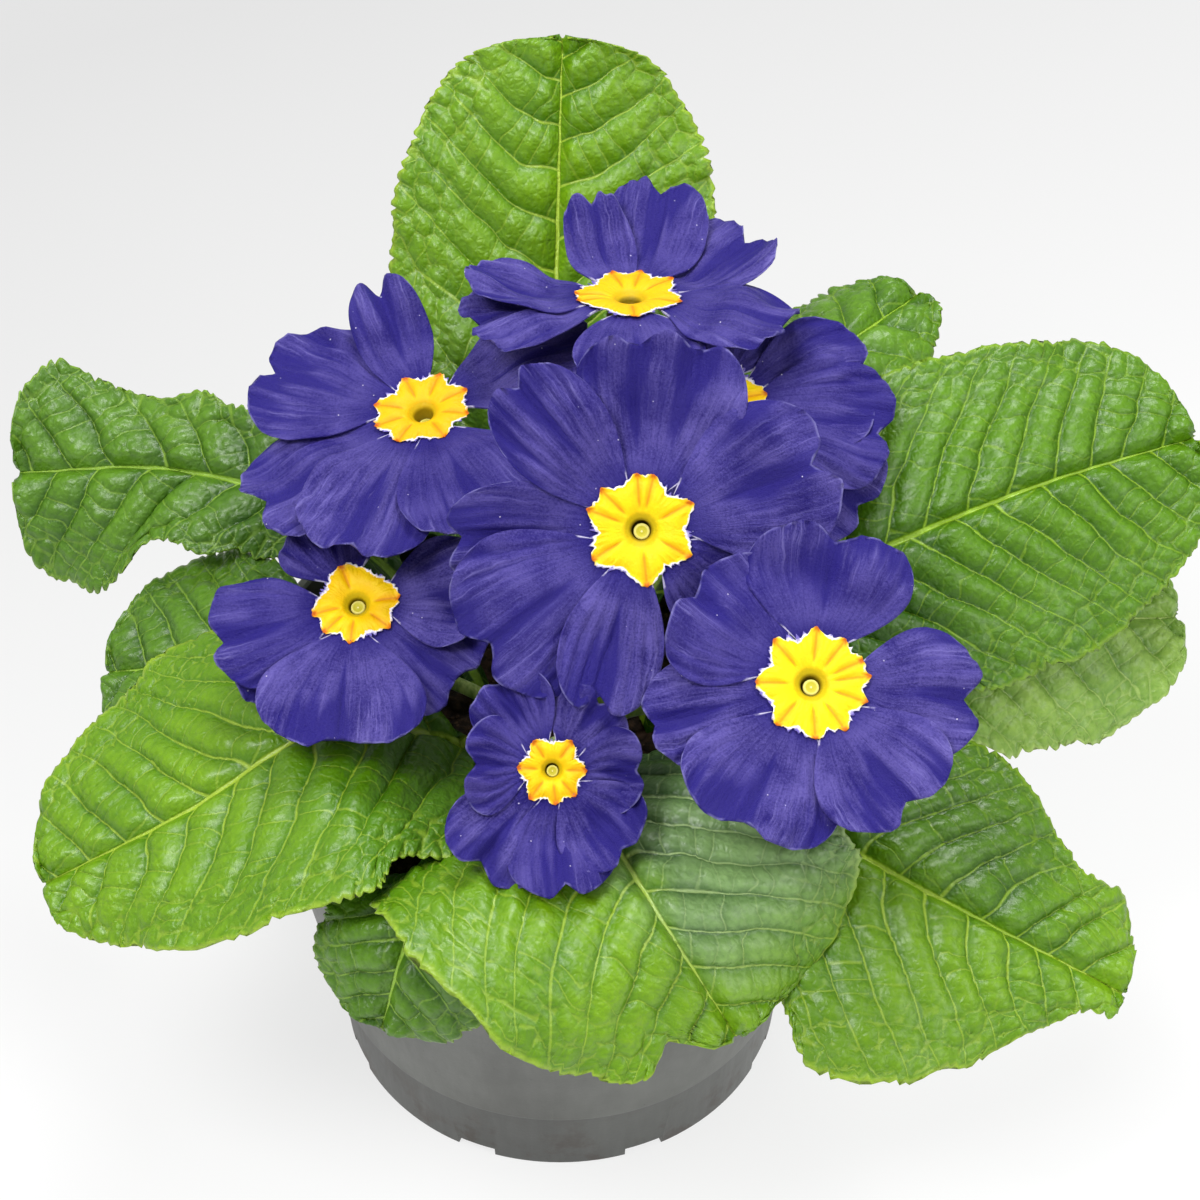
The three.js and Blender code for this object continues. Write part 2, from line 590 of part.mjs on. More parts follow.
// The yellow part of a bloom: a star that lies on the petals, with the throat and the tube below it.
function starGeometry(bloom) {
  const tips = bloom.petals.map((petal) => radians(petal[0])).sort((a, b) => a - b);
  const outline = tips.flatMap((tip, k) => {
    const next = tips[(k + 1) % tips.length] + (k + 1 === tips.length ? 2 * Math.PI : 0);
    return [[tip, STAR_RADIUS * bloom.eye], [(tip + next) / 2, STAR_VALLEY * bloom.eye]];
  });
  const ring = (radiusAt, heightAt) =>
    outline.map(([angle, edge]) => {
      const radius = radiusAt(edge);
      return new THREE.Vector3(radius * Math.cos(angle), radius * Math.sin(angle), heightAt(radius));
    });
  const throat = Math.min(THROAT_RADIUS, 2.6 * bloom.eye);
  return loft([
    ring(() => TUBE_RADIUS, () => -TUBE_LENGTH),
    ring(() => TUBE_TOP_RADIUS, (r) => coneHeight(r) + STAR_LIFT),
    ring((edge) => edge, (r) => coneHeight(r) + STAR_LIFT),
    ring((edge) => edge, (r) => coneHeight(r) + STAR_LIFT + STAR_THICKNESS),
    ring(() => throat, (r) => coneHeight(r) + STAR_LIFT + STAR_THICKNESS),
    ring(() => throat * 0.6, () => -THROAT_DEPTH),
  ]);
}

// The stigma on its style, standing in the throat.
function pistilGeometry() {
  const profile = [
    [0, -THROAT_DEPTH + 0.3],
    [STYLE_RADIUS, -THROAT_DEPTH + 0.3],
    [STYLE_RADIUS, -STIGMA_RADIUS],
    [STIGMA_RADIUS, 0],
    [0, 0.7],
  ];
  return lathe(profile, 6);
}

// The green part in one piece: the stem out of the soil, and the hollow, toothed calyx at its end.
function stemGeometry(bloom) {
  const frame = bloomFrame(bloom);
  const base = CALYX_DROP + CALYX_LENGTH;
  const down = (depth) => new THREE.Vector3(0, 0, -depth).applyMatrix4(frame);
  const [x, y] = bloom.foot;
  const path = new THREE.CubicBezierCurve3(
    new THREE.Vector3(x, y, STEM_BEND),
    new THREE.Vector3(x, y, mix(STEM_BEND, bloom.at[2] - base, 0.6)),
    down(base + 8),
    down(base),
  );
  const turnOf = (direction) =>
    new THREE.Quaternion().setFromUnitVectors(new THREE.Vector3(0, 0, 1), direction);
  const circle = (centre, direction) =>
    Array.from({ length: CALYX_SIDES }, (_, k) => {
      const angle = (2 * Math.PI * k) / CALYX_SIDES;
      return new THREE.Vector3(STEM_RADIUS * Math.cos(angle), STEM_RADIUS * Math.sin(angle), 0)
        .applyQuaternion(turnOf(direction))
        .add(centre);
    });
  const facing = vector(bloom.facing).normalize();
  const calyxRing = (radius, depth, tooth) =>
    Array.from({ length: CALYX_SIDES }, (_, k) => {
      const angle = (2 * Math.PI * k) / CALYX_SIDES;
      const point = k % 2 === 0;
      const r = radius * (point ? 1.06 : 0.92);
      const lift = point ? tooth : 0;
      return new THREE.Vector3(r * Math.cos(angle), r * Math.sin(angle), lift)
        .applyQuaternion(turnOf(facing))
        .add(down(depth));
    });
  const top = CALYX_DROP + CALYX_TOOTH;
  const steps = Array.from({ length: STEM_STEPS + 1 }, (_, k) => k / STEM_STEPS);
  return loft([
    circle(new THREE.Vector3(x, y, STEM_FOOT), new THREE.Vector3(0, 0, 1)),
    ...steps.map((share) => circle(path.getPoint(share), path.getTangent(share))),
    calyxRing(CALYX_BASE_RADIUS + 0.8, base - 3, 0),
    calyxRing(CALYX_TOP_RADIUS, top, CALYX_TOOTH),
    calyxRing(CALYX_TOP_RADIUS - CALYX_WALL, top, CALYX_TOOTH),
    calyxRing(CALYX_BASE_RADIUS, TUBE_LENGTH + 0.3, 0),
  ]);
}

// ---- The whole plant

const group = new THREE.Group();

function place(name, geometry, look) {
  const mesh = new THREE.Mesh(geometry, look);
  mesh.name = name;
  group.add(mesh);
  return mesh;
}

place("pot", pot(), POT_PLASTIC);
place("soil", soil(), SOIL);
for (const [name, leaf] of Object.entries(LEAVES)) place(name, leafGeometry(leaf), LEAF_GREEN);
for (const [name, bloom] of Object.entries(BLOOMS)) {
  const frame = bloomFrame(bloom);
  place(`${name}_petals`, corollaGeometry(bloom), PETAL_VIOLET).applyMatrix4(frame);
  place(`${name}_star`, starGeometry(bloom), STAR_YELLOW).applyMatrix4(frame);
  place(`${name}_pistil`, pistilGeometry(), STIGMA_GREEN).applyMatrix4(frame);
  place(`${name}_stem`, stemGeometry(bloom), STEM_GREEN);
}

export default group;
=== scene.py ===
"""A potted primrose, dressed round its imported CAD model.

Shapes are worked out in millimetres in the model's own frame: +Z up, the origin on the ground under the
middle of the pot. Each piece stands for one CAD node, keeps its form and adds what is finer: teeth, veins
and quilting on the leaves, pleats and frills on the petals, crumbs on the soil."""
import math
from functools import partialmethod

import bpy
import numpy as np
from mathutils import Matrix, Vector


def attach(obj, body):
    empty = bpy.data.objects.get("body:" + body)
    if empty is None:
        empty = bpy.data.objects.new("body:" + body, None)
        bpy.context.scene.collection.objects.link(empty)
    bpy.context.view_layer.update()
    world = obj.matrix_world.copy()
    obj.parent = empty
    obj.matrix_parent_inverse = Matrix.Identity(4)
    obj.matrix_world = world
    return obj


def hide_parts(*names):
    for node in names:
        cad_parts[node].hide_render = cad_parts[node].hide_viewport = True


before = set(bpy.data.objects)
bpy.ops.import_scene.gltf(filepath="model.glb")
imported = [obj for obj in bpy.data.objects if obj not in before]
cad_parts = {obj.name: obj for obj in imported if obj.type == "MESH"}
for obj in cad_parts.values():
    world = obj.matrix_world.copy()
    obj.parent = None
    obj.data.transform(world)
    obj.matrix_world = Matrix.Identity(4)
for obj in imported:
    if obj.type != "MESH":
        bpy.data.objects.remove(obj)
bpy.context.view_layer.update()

MM = 0.001
BODY = "root"
LATTICE = 64  # random values along each side of the tables that the noise comes from

# ---- The leaves' sizes

STALK_HALF_WIDTH = 2.3
STALK_DEPTH = 1.5  # how far the stalk and the midrib stand out below the blade
STALK_SHARE = 0.16  # share of a leaf's rows that lies on its stalk
WIDE_SHARE = 0.62  # share at which the blade is widest
LAST_SHARE = 0.997
BLADE_HALF = 0.26  # half the thickness of a blade
QUILT = 1.1  # swelling between two side veins
LADDER = 0.62  # swelling between two cross veins, which lie like rungs between the side veins
NET = 0.28  # swelling inside each small cell of the finest net of veins
RUNG = 2.9  # distance between two cross veins
CELL = 1.9  # size of the cells of the finest net
MARGIN_CELL = 4.4  # size of the cells that the side veins turn into near the leaf's edge
VEIN_SLANT = 0.52  # how far a side vein runs forward for each millimetre outward, near the midrib
VEIN_CURVE = 0.013  # and how much more for each millimetre that it is from the midrib
VEIN_OUTWARD = 0.85  # a side vein's direction: its parts away from the midrib and along it
VEIN_FORWARD = 0.5
SIDE_VEIN = 0.35  # how far a side vein stands out below the blade
TROUGH = 0.6  # depth of the trough in which the midrib lies, seen from above
TROUGH_WIDTH = 1.8
STALK_FADE = 2.4  # distance from the middle in which the stalk's and the midrib's depths fade
MIDRIB_FADE = 1.4
LOBE = 0.9  # height of the broad lobes of a leaf's edge
LOBE_WIDTH = 5
TOOTH = 1.05  # depth of its teeth
TOOTH_WIDTH = 2.1
WAVE_STARTS = (0.5, 2.2)  # where the waves of its left and right edge begin
LEAF_FRILL = 0.9  # height of the frill along its edge
LEAF_FRILL_WIDTH = 6
LEAF_ROW = 0.43  # distance between two rows of a leaf's mesh
LEAF_COLUMN = 0.56
STALK_ROWS = 12

# Each leaf: the points of its midrib from the soil to the tip, the stalk's length, the half widths on the
# left and the right (looking from the soil to the tip), where along the blade it is widest, how blunt its
# tip and how full its base are (smaller is blunter and fuller), its roll in degrees at the base and the
# tip, the bow of each half in degrees, its edge's waves as [count, height], its lobes as [side, place,
# size, span], the bites out of its tip as [place across, depth, span], its side veins and the looks of its
# left and right halves.
LEAVES = {
    "leaf_back": dict(
        midrib=[[-1, 14.5, 64], [-1, 15, 76], [-1, 44, 93], [-0.5, 72, 112], [0.5, 98, 141]],
        stalk=22, half=[29, 28], widest=0.6, blunt=0.7, full=0.55, veins=11,
        roll=[0, 0], bow=[-12, -12], wave=[3, 1.0], look=("bright", "bright"),
    ),
    "leaf_back_right": dict(
        midrib=[[9, 11.5, 64], [10, 12.5, 76], [27, 38, 93], [46, 60, 100], [62.5, 78.5, 98]],
        stalk=28, half=[17, 15], widest=0.58, blunt=0.7, full=0.9, veins=8,
        roll=[0, 0], bow=[-25, -20], wave=[2, 1.5], look=("middle", "middle"),
    ),
    "leaf_right": dict(
        midrib=[[14.5, 3, 64], [15.5, 3, 76], [46, 12, 98], [79, 26, 104], [108, 38, 104]],
        stalk=30, half=[28, 30], widest=0.46, blunt=0.68, full=0.6, veins=12,
        roll=[30, 32], bow=[-14, -14], wave=[2, 1.2], look=("middle", "middle"),
    ),
    "leaf_right_low": dict(
        midrib=[[23, -3, 64], [24, -3, 75], [46, 3, 86], [76, 13, 84], [106.5, 24, 74]],
        stalk=24, half=[24, 22], widest=0.58, blunt=0.6, full=0.9, veins=9,
        roll=[28, 28], bow=[-12, -16], wave=[2, 1.2],
        # its pale look is painted sheen
        lobes=[[-1, 0.9, -0.2, 0.08]], look=("pale", "pale"),
    ),
    "leaf_front_right": dict(
        midrib=[[11, -9.5, 64], [12, -10.5, 75], [32, -26, 85], [61, -41.5, 79.5], [93, -50, 64]],
        stalk=26, half=[26, 27], widest=0.5, blunt=0.7, full=0.65, veins=11,
        roll=[19, 11], bow=[-14, -12], wave=[3, 1.2],
        lobes=[[1, 0.62, 0.12, 0.07], [1, 0.79, -0.22, 0.06], [-1, 0.64, 0.33, 0.08], [-1, 0.88, -0.6, 0.1]],
        # its left half's darker look is painted shade, the two halves being lit differently
        look=("middle", "bright"),
    ),
    "leaf_front": dict(
        midrib=[[2.5, -14.5, 64], [3, -15.5, 76], [8, -38.5, 92], [17, -55.5, 90], [29, -65.5, 72.5]],
        stalk=14, half=[36, 36], widest=0.42, blunt=0.75, full=0.45, veins=9,
        roll=[6, 0], bow=[-3, 1], wave=[3, 1.0],
        lobes=[[-1, 0.6, 0.11, 0.11], [-1, 0.86, -0.12, 0.08], [1, 0.88, 0.28, 0.1]],
        bites=[[-9.8, 6.6, 4.8]],
        # its left half takes the blue look, painted shade and sheen
        look=("blue_sheen", "bright"),
    ),
    "leaf_front_left_low": dict(
        midrib=[[-9, -21, 64], [-9.3, -21.6, 75], [-17, -39, 80], [-24, -54, 83], [-28.5, -60, 68]],
        stalk=25, half=[17, 16], widest=0.64, blunt=0.8, full=0.9, veins=7,
        roll=[0, 0], bow=[-12, -12], wave=[2, 1.0], look=("dark", "dark"),
    ),
    "leaf_left": dict(
        midrib=[[-12, -8.5, 64], [-13, -9, 76], [-38, -17, 92], [-61, -26, 82], [-85.6, -28.8, 66.5]],
        stalk=18, half=[28, 29], widest=0.42, blunt=0.75, full=0.35, veins=10,
        roll=[4, -12], bow=[2, -12], wave=[2, 1.0],
        lobes=[[1, 0.3, 0.52, 0.13], [1, 0.58, 0.28, 0.11], [1, 0.86, -0.2, 0.12], [-1, 0.7, 0.2, 0.12]],
        look=("bright", "bright"),
    ),
    "leaf_left_low": dict(
        midrib=[[-23, 2, 64], [-24, 2, 75], [-43, 3, 86], [-61, 6, 82], [-77, 11, 74.5]],
        stalk=20, half=[19, 23], widest=0.6, blunt=0.7, full=0.9, veins=7,
        roll=[-15, -15], bow=[-12, -12], wave=[2, 1.2], look=("dark", "dark"),
    ),
    "leaf_back_left": dict(
        midrib=[[-13, 7, 64], [-14, 8, 76], [-40, 28, 95], [-66, 40, 94], [-94, 47, 86]],
        stalk=30, half=[23, 18], widest=0.62, blunt=0.5, full=0.9, veins=9,
        roll=[-15, -40], bow=[-12, 10], wave=[2, 3.0],
        lobes=[
            [-1, 0.53, -0.3, 0.1], [-1, 0.69, -0.28, 0.08], [-1, 0.84, 0.35, 0.08],
            [1, 0.45, -0.35, 0.1], [1, 0.61, -0.42, 0.08],
        ],
        look=("dark", "dark"),
    ),
    "leaf_back_low_left": dict(
        midrib=[[-9, 21, 64], [-9.5, 22, 75], [-18, 43, 85], [-28, 62, 80], [-36, 76, 68]],
        stalk=16, half=[17, 17], widest=0.58, blunt=0.8, full=0.9, veins=6,
        roll=[0, 0], bow=[-16, -16], wave=[2, 1.0], look=("dark", "dark"),
    ),
    "leaf_back_low_right": dict(
        midrib=[[10, 20, 64], [10.5, 21, 75], [22, 43, 84], [34, 60, 79], [42, 74, 67]],
        stalk=16, half=[16, 16], widest=0.58, blunt=0.8, full=0.9, veins=6,
        roll=[0, 0], bow=[-16, -16], wave=[2, 1.0], look=("dark", "dark"),
    ),
}

# ---- The blooms' sizes

PETAL_HALF = 0.2  # half the thickness of a petal
PETAL_START = 6.5  # distance from the bloom's middle at which the petals start
CLAW_HALF_WIDTH = 3
CLAW_SHARE = -0.12  # the petals start a little inside the star, under it
STAR_RADIUS = 9  # distance to the star's tips
STAR_VALLEY = 6.6  # and to the deepest valleys between them
STAR_STEPS = 252  # points round a star
STAR_LIFT = 0.46  # how high its face lies over the cone that the petals start on
STAR_CREST = 0.5  # how high its face swells between the throat and the rim
STAR_GROOVE = 0.42  # depth of the groove that runs to each tip
CONE_ANGLE = 8  # slope of the cone that the star and the petals start on, in degrees
PETAL_WIDEST = 0.55  # share of its length at which a petal is widest
NOTCH = 0.12  # depth of a notch in the rim, as a share of the petal's length
NOTCH_SPAN = 0.2
LAYER = 0.9  # distance between two layers of petals
TOP_LAYER = 2
PETAL_WAVE = 0.4  # height of the broad waves across a petal
FOLD = 2.0  # height of the broad folds that run through a whole bloom
FOLD_WIDTH = 9
PLEAT = 0.34  # height of the fine pleats that run along a petal
PLEAT_WIDTH = 2.4
CREASE = 1.1  # depth of the crease that runs from each notch to the star
CREASE_WIDTH = 1.3
PETAL_FRILL = 1.1  # height of the frill along a petal's rim
PETAL_FRILL_WIDTH = 3.5
BILLOW = 0.5  # height of the soft swells of a petal
BILLOW_WIDTH = 6
PETAL_ROWS = 33
PETAL_COLUMNS = 41
TUBE_RADIUS = 1.9
TUBE_LENGTH = 14
THROAT_DEPTH = 5
THROAT_LIP = 0.55
CALYX_LENGTH = 13
CALYX_DROP = 2.6  # how far the tips of the calyx's teeth lie under the bloom's middle
CALYX_TOOTH = 2.2
CALYX_WALL = 0.8
CALYX_TOP_RADIUS = 4.2
CALYX_BASE_RADIUS = 2.4
STEM_RADIUS = 1.2
STEM_SIDES = 40
STEM_BEND = 73  # height at which a stem starts to bend
STEM_FOOT = 64
STIGMA_RADIUS = 1.3
STIGMA_SINK = 0.6  # how deep it is sunk into the throat, where a bloom gives no depth of its own
STYLE_RADIUS = 0.4
PISTIL_SIDES = 40

# Each bloom: where its stem leaves the soil, the middle of its star, the way it faces, its star's scale,
# the directions of the star's tips in degrees, where they aren't those of the petals, how far its yellow
# turns to orange, how deep its stigma is sunk into the throat, how strong its folds are, and its petals as
# [direction in degrees, length, half width, lift in degrees, roll in degrees, layer, places of its notches],
# where layer 2 lies on top and a petal that gives no notches has one in the middle.
BLOOMS = {
    "bloom_centre": dict(
        foot=[2, 0], at=[13.6, -6.5, 129], facing=[0, -0.669, 0.743], eye=1,
        tips=[29, 77, 94, 135, 159, 211, 276, 331], warm=0.1,
        petals=[
            [131, 33, 8.8, 14, 0, 2], [82, 33, 14, 15, 0, 0, [-0.33, 0.33]], [21, 33, 13, 9, 0, 2],
            [183, 32, 9, 6, -15, 0], [217, 34, 14, 10, 0, 1], [256, 31, 8.4, 11, 0, 2],
            [322, 20, 8, -14, 0, 0],
        ],
    ),
    "bloom_right": dict(
        foot=[6.5, -4], at=[40.5, -30.5, 118.5], facing=[0.1, -0.45, 0.9], eye=1,
        tips=[9, 26, 53, 84, 131, 180, 231, 273, 305, 342], warm=0.0,
        petals=[
            [81, 25.5, 13.5, 14, 0, 2], [144, 25, 12, 12, 0, 1], [196, 28, 9, 2, 0, 0],
            [244, 28, 13.5, 10, 0, 1], [307, 27, 11.5, 12, 0, 2], [356, 27, 11, 6, 0, 0],
        ],
    ),
    "bloom_left": dict(
        foot=[-4.5, 4.5], at=[-22.4, 28, 120], facing=[-0.15, 0, 0.99], eye=0.9,
        tips=[25, 70, 112, 165, 200, 240, 300, 345], warm=0.75, sink=2.5,
        petals=[
            [156, 31, 13, 6, 0, 1], [107, 27, 6.5, 20, 0, 2], [26, 33, 11, 2, 0, 1],
            [212, 34, 12, 0, 0, 0], [247, 33, 12, 2, 0, 1], [294, 31, 12, 2, 0, 2],
        ],
    ),
    "bloom_lower_left": dict(
        foot=[-6.5, -2], at=[-32.8, -4, 108], facing=[-0.1, -0.3, 0.95], eye=0.8, warm=0.35,
        petals=[
            [112, 18, 9, 2, 0, 0], [194, 25, 10, 4, 0, 1], [224, 24, 10, -4, 0, 0],
            [263, 26.5, 14, 5, 0, 2], [320, 22.5, 12, -4, 0, 0], [5, 21, 10, 8, 0, 1],
        ],
    ),
    "bloom_front": dict(
        foot=[-0.5, -7], at=[-0.7, -36, 104.2], facing=[0, -0.669, 0.743], eye=0.62, warm=0.3, folds=1.3,
        petals=[
            [122, 18, 7, 8, 0, 1], [175, 14, 8, 25, 0, 2], [232, 21, 9, 22, 0, 0],
            [277, 20, 9, 24, 0, 1], [312, 18, 8, 24, 0, 2], [0, 15, 7, 20, 0, 1],
            [55, 15, 7, 12, 0, 0],
        ],
    ),
    "bloom_back": dict(
        foot=[2, 7], at=[12, 45.5, 129], facing=[0, 0.34, 0.94], eye=1, warm=0.7, sink=2.5,
        petals=[
            [179, 28, 9, 12, 0, 1], [197, 29, 10, -2, 0, 0], [109, 22, 6, 35, 0, 2],
            [78, 28.5, 9.5, 27, 0, 1], [41, 28.5, 11, 18, 0, 0], [340, 29, 12, 0, 0, 1],
            [275, 25, 11, 0, 0, 0],
        ],
    ),
    "bloom_back_right": dict(
        foot=[7, 3], at=[25.8, 30, 120], facing=[0.1, -0.4, 0.9], eye=1,
        petals=[
            [13, 28, 12, 4, 0, 1], [352, 31, 12, 2, 0, 2], [327, 32.5, 12, 0, 0, 0],
            [75, 18, 9, -8, 0, 0], [138, 12.5, 7, 15, 0, 1], [206, 24, 9, 0, 0, 0],
            [272, 25, 11, 0, 0, 1],
        ],
    ),
}

# ---- The pot's and the soil's sizes

POT_SIDES = 144
FOOT_RADIUS = 38.3
LEDGE_RADIUS = 39.6
LEDGE_HEIGHT = 15
COLLAR_FOOT_RADIUS = 49.5
COLLAR_HEIGHT = 67  # height at which the collar under the rim starts
RIM_RADIUS = 52.5
RIM_HEIGHT = 80
WALL = 1.4
FLOOR_UNDERSIDE = 3
FLOOR = 1.6  # thickness of the pot's floor
HUB_RADIUS = 11
FOOT_RING = 3.5  # width of the ring that the pot stands on
CHANNELS = 8
CHANNEL_WIDTH = 7
CHANNEL_HEIGHT = 2.2
DRAIN_HOLES = 4
DRAIN_RADIUS = 3.6
DRAIN_CIRCLE = 23
DRAIN_SIDES = 40
SOIL_TOP = 71
SOIL_GAP = 0.3  # between the soil and the pot
SOIL_SIDES = 180
SOIL_RINGS = 66
CRUMBS = 900
CRUMB_SIDES = 6

# ---- Small helpers


def clip(x):
    return np.clip(x, 0.0, 1.0)


def ease(x):
    x = clip(x)
    return x * x * (3 - 2 * x)


def mix(a, b, share):
    return a + (b - a) * share


def bell(x):
    return np.exp(-(x**2))


def unit(vectors):
    return vectors / np.linalg.norm(vectors, axis=-1, keepdims=True)


def join(x, y, z):
    """Points, or other rows of three numbers, from their parts."""
    return np.stack(np.broadcast_arrays(x, y, z), axis=-1)


def around(count):
    """The angles of points round a circle."""
    return np.linspace(0, 2 * math.pi, count, endpoint=False)


def ring(angle, radius, height):
    """Points round the upright axis."""
    return join(radius * np.cos(angle), radius * np.sin(angle), height)


def bumps(x, y, seed):
    """Smooth noise from -1 to 1 over a plane, one bump per unit."""
    table = np.random.default_rng(seed).uniform(-1, 1, (LATTICE, LATTICE))
    column = np.floor(x).astype(int)
    row = np.floor(y).astype(int)
    u = ease(x - column)
    v = ease(y - row)

    def corner(i, j):
        return table[(column + i) % LATTICE, (row + j) % LATTICE]

    return mix(mix(corner(0, 0), corner(1, 0), u), mix(corner(0, 1), corner(1, 1), u), v)


def cells(x, y, seed):
    """How far a point is from the border of its cell: a random net over a plane, one cell per unit."""
    middles = np.random.default_rng(seed).uniform(0.1, 0.9, (LATTICE, LATTICE, 2))
    column = np.floor(x).astype(int)
    row = np.floor(y).astype(int)
    nearest = np.full(x.shape, 9.0)
    second = np.full(x.shape, 9.0)
    for i in (-1, 0, 1):
        for j in (-1, 0, 1):
            middle = middles[(column + i) % LATTICE, (row + j) % LATTICE]
            distance = np.hypot(column + i + middle[..., 0] - x, row + j + middle[..., 1] - y)
            second = np.minimum(second, np.maximum(nearest, distance))
            nearest = np.minimum(nearest, distance)
    return second - nearest


# ---- Meshes


def add_object(name, data):
    made = bpy.data.objects.new(name, data)
    bpy.context.scene.collection.objects.link(made)
    return made


def piece(name, solid, look, node, values=()):
    """A piece that stands for a CAD node: a solid's points in millimetres, its quads and its triangles.

    values holds numbers for each point, which the looks read by name."""
    points, quads, triangles = solid
    corners = np.concatenate([quads.ravel(), triangles.ravel()])
    sizes = np.repeat([4, 3], [len(quads), len(triangles)])
    mesh = bpy.data.meshes.new(name)
    mesh.vertices.add(len(points))
    mesh.vertices.foreach_set("co", (points * MM).astype(np.float32).ravel())
    mesh.loops.add(len(corners))
    mesh.loops.foreach_set("vertex_index", corners.astype(np.int32))
    mesh.polygons.add(len(sizes))
    mesh.polygons.foreach_set("loop_start", (np.cumsum(sizes) - sizes).astype(np.int32))
    mesh.polygons.foreach_set("use_smooth", np.ones(len(sizes), bool))
    mesh.update(calc_edges=True)
    for key, rows in dict(values).items():
        layer = mesh.attributes.new(key, "FLOAT_VECTOR", "POINT")
        layer.data.foreach_set("vector", rows.astype(np.float32).ravel())
    mesh.materials.append(look)
    made = add_object(name, mesh)
    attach(made, BODY)
    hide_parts(node)
    return made


def grid_faces(grid):
    """Quads between the neighbours in a grid of point numbers."""
    corners = grid[:-1, :-1], grid[1:, :-1], grid[1:, 1:], grid[:-1, 1:]
    return np.stack([corner.ravel() for corner in corners], axis=1)


def seam_faces(fine, coarse):
    """Triangles between a fine line of points and a coarse one that has every second of them."""
    first, middle, last = fine[:-1:2], fine[1::2], fine[2::2]
    near, far = coarse[:-1], coarse[1:]
    return np.concatenate([join(first, middle, near), join(middle, far, near), join(middle, last, far)])


def sheet(surface, above, below, values):
    """A closed thin sheet round a surface's grid of points: every point above, every second one below.

    Returns its solid, and for each of its points the numbers that values holds for the grid."""
    normals = np.cross(np.gradient(surface, axis=0), np.gradient(surface, axis=1))
    # the small share of the mean normal serves the points where two rows meet
    normals = unit(normals + 1e-6 * normals.mean(axis=(0, 1)))
    top = surface + normals * above[..., None]
    bottom = (surface - normals * below[..., None])[::2, ::2]
    upper, lower = (np.arange(grid[..., 0].size).reshape(grid.shape[:2]) for grid in (top, bottom))
    source = np.concatenate([upper.ravel(), upper[::2, ::2].ravel()])
    lower = lower + upper.size
    quads = [grid_faces(upper), grid_faces(lower)[:, ::-1]]
    seams = [
        seam_faces(upper[:, 0], lower[:, 0])[:, ::-1],
        seam_faces(upper[:, -1], lower[:, -1]),
        seam_faces(upper[0], lower[0]),
        seam_faces(upper[-1], lower[-1])[:, ::-1],
    ]
    points = np.concatenate([top.reshape(-1, 3), bottom.reshape(-1, 3)])
    values = {key: numbers.reshape(-1, 3)[source] for key, numbers in values.items()}
    return (points, np.concatenate(quads), np.concatenate(seams)), values


def loft(rings):
    """A closed solid through rings of points, with its ends capped by fans."""
    rings = np.asarray(rings, float)
    count, sides = rings.shape[:2]
    turn = np.arange(sides)
    follow = (turn + 1) % sides
    starts = sides * np.arange(count - 1)[:, None]
    a, b = (starts + turn).ravel(), (starts + follow).ravel()
    quads = np.stack([a, b, b + sides, a + sides], axis=1)
    foot = count * sides
    last = foot - sides
    caps = np.concatenate([join(foot, follow, turn), join(foot + 1, last + turn, last + follow)])
    return np.concatenate([rings.reshape(-1, 3), rings[[0, -1]].mean(axis=1)]), quads, caps


def merge(solids):
    """Several solids as one."""
    points, quads, triangles = zip(*solids)
    starts = np.cumsum([0, *map(len, points)])
    quads, triangles = ([part + start for part, start in zip(faces, starts)] for faces in (quads, triangles))
    return np.concatenate(points), np.concatenate(quads), np.concatenate(triangles)


# ---- Looks


def colour(*display):
    """A colour from its display values, 0 to 255, as the linear one that shaders take."""
    shares = [value / 255 for value in display]
    return tuple(s / 12.92 if s <= 0.04045 else ((s + 0.055) / 1.055) ** 2.4 for s in shares) + (1.0,)


def make(tree, kind, inputs, output=0, **settings):
    """A new node's output as a field. Its inputs are fields or plain values."""
    node = tree.nodes.new("ShaderNode" + kind)
    for key, value in settings.items():
        setattr(node, key, value)
    for socket, value in inputs.items():
        feed(tree, node.inputs[socket], value)
    return Field(tree, node.outputs[output])


def feed(tree, socket, value):
    if isinstance(value, Field):
        tree.links.new(value.output, socket)
    elif value is not None:
        socket.default_value = value


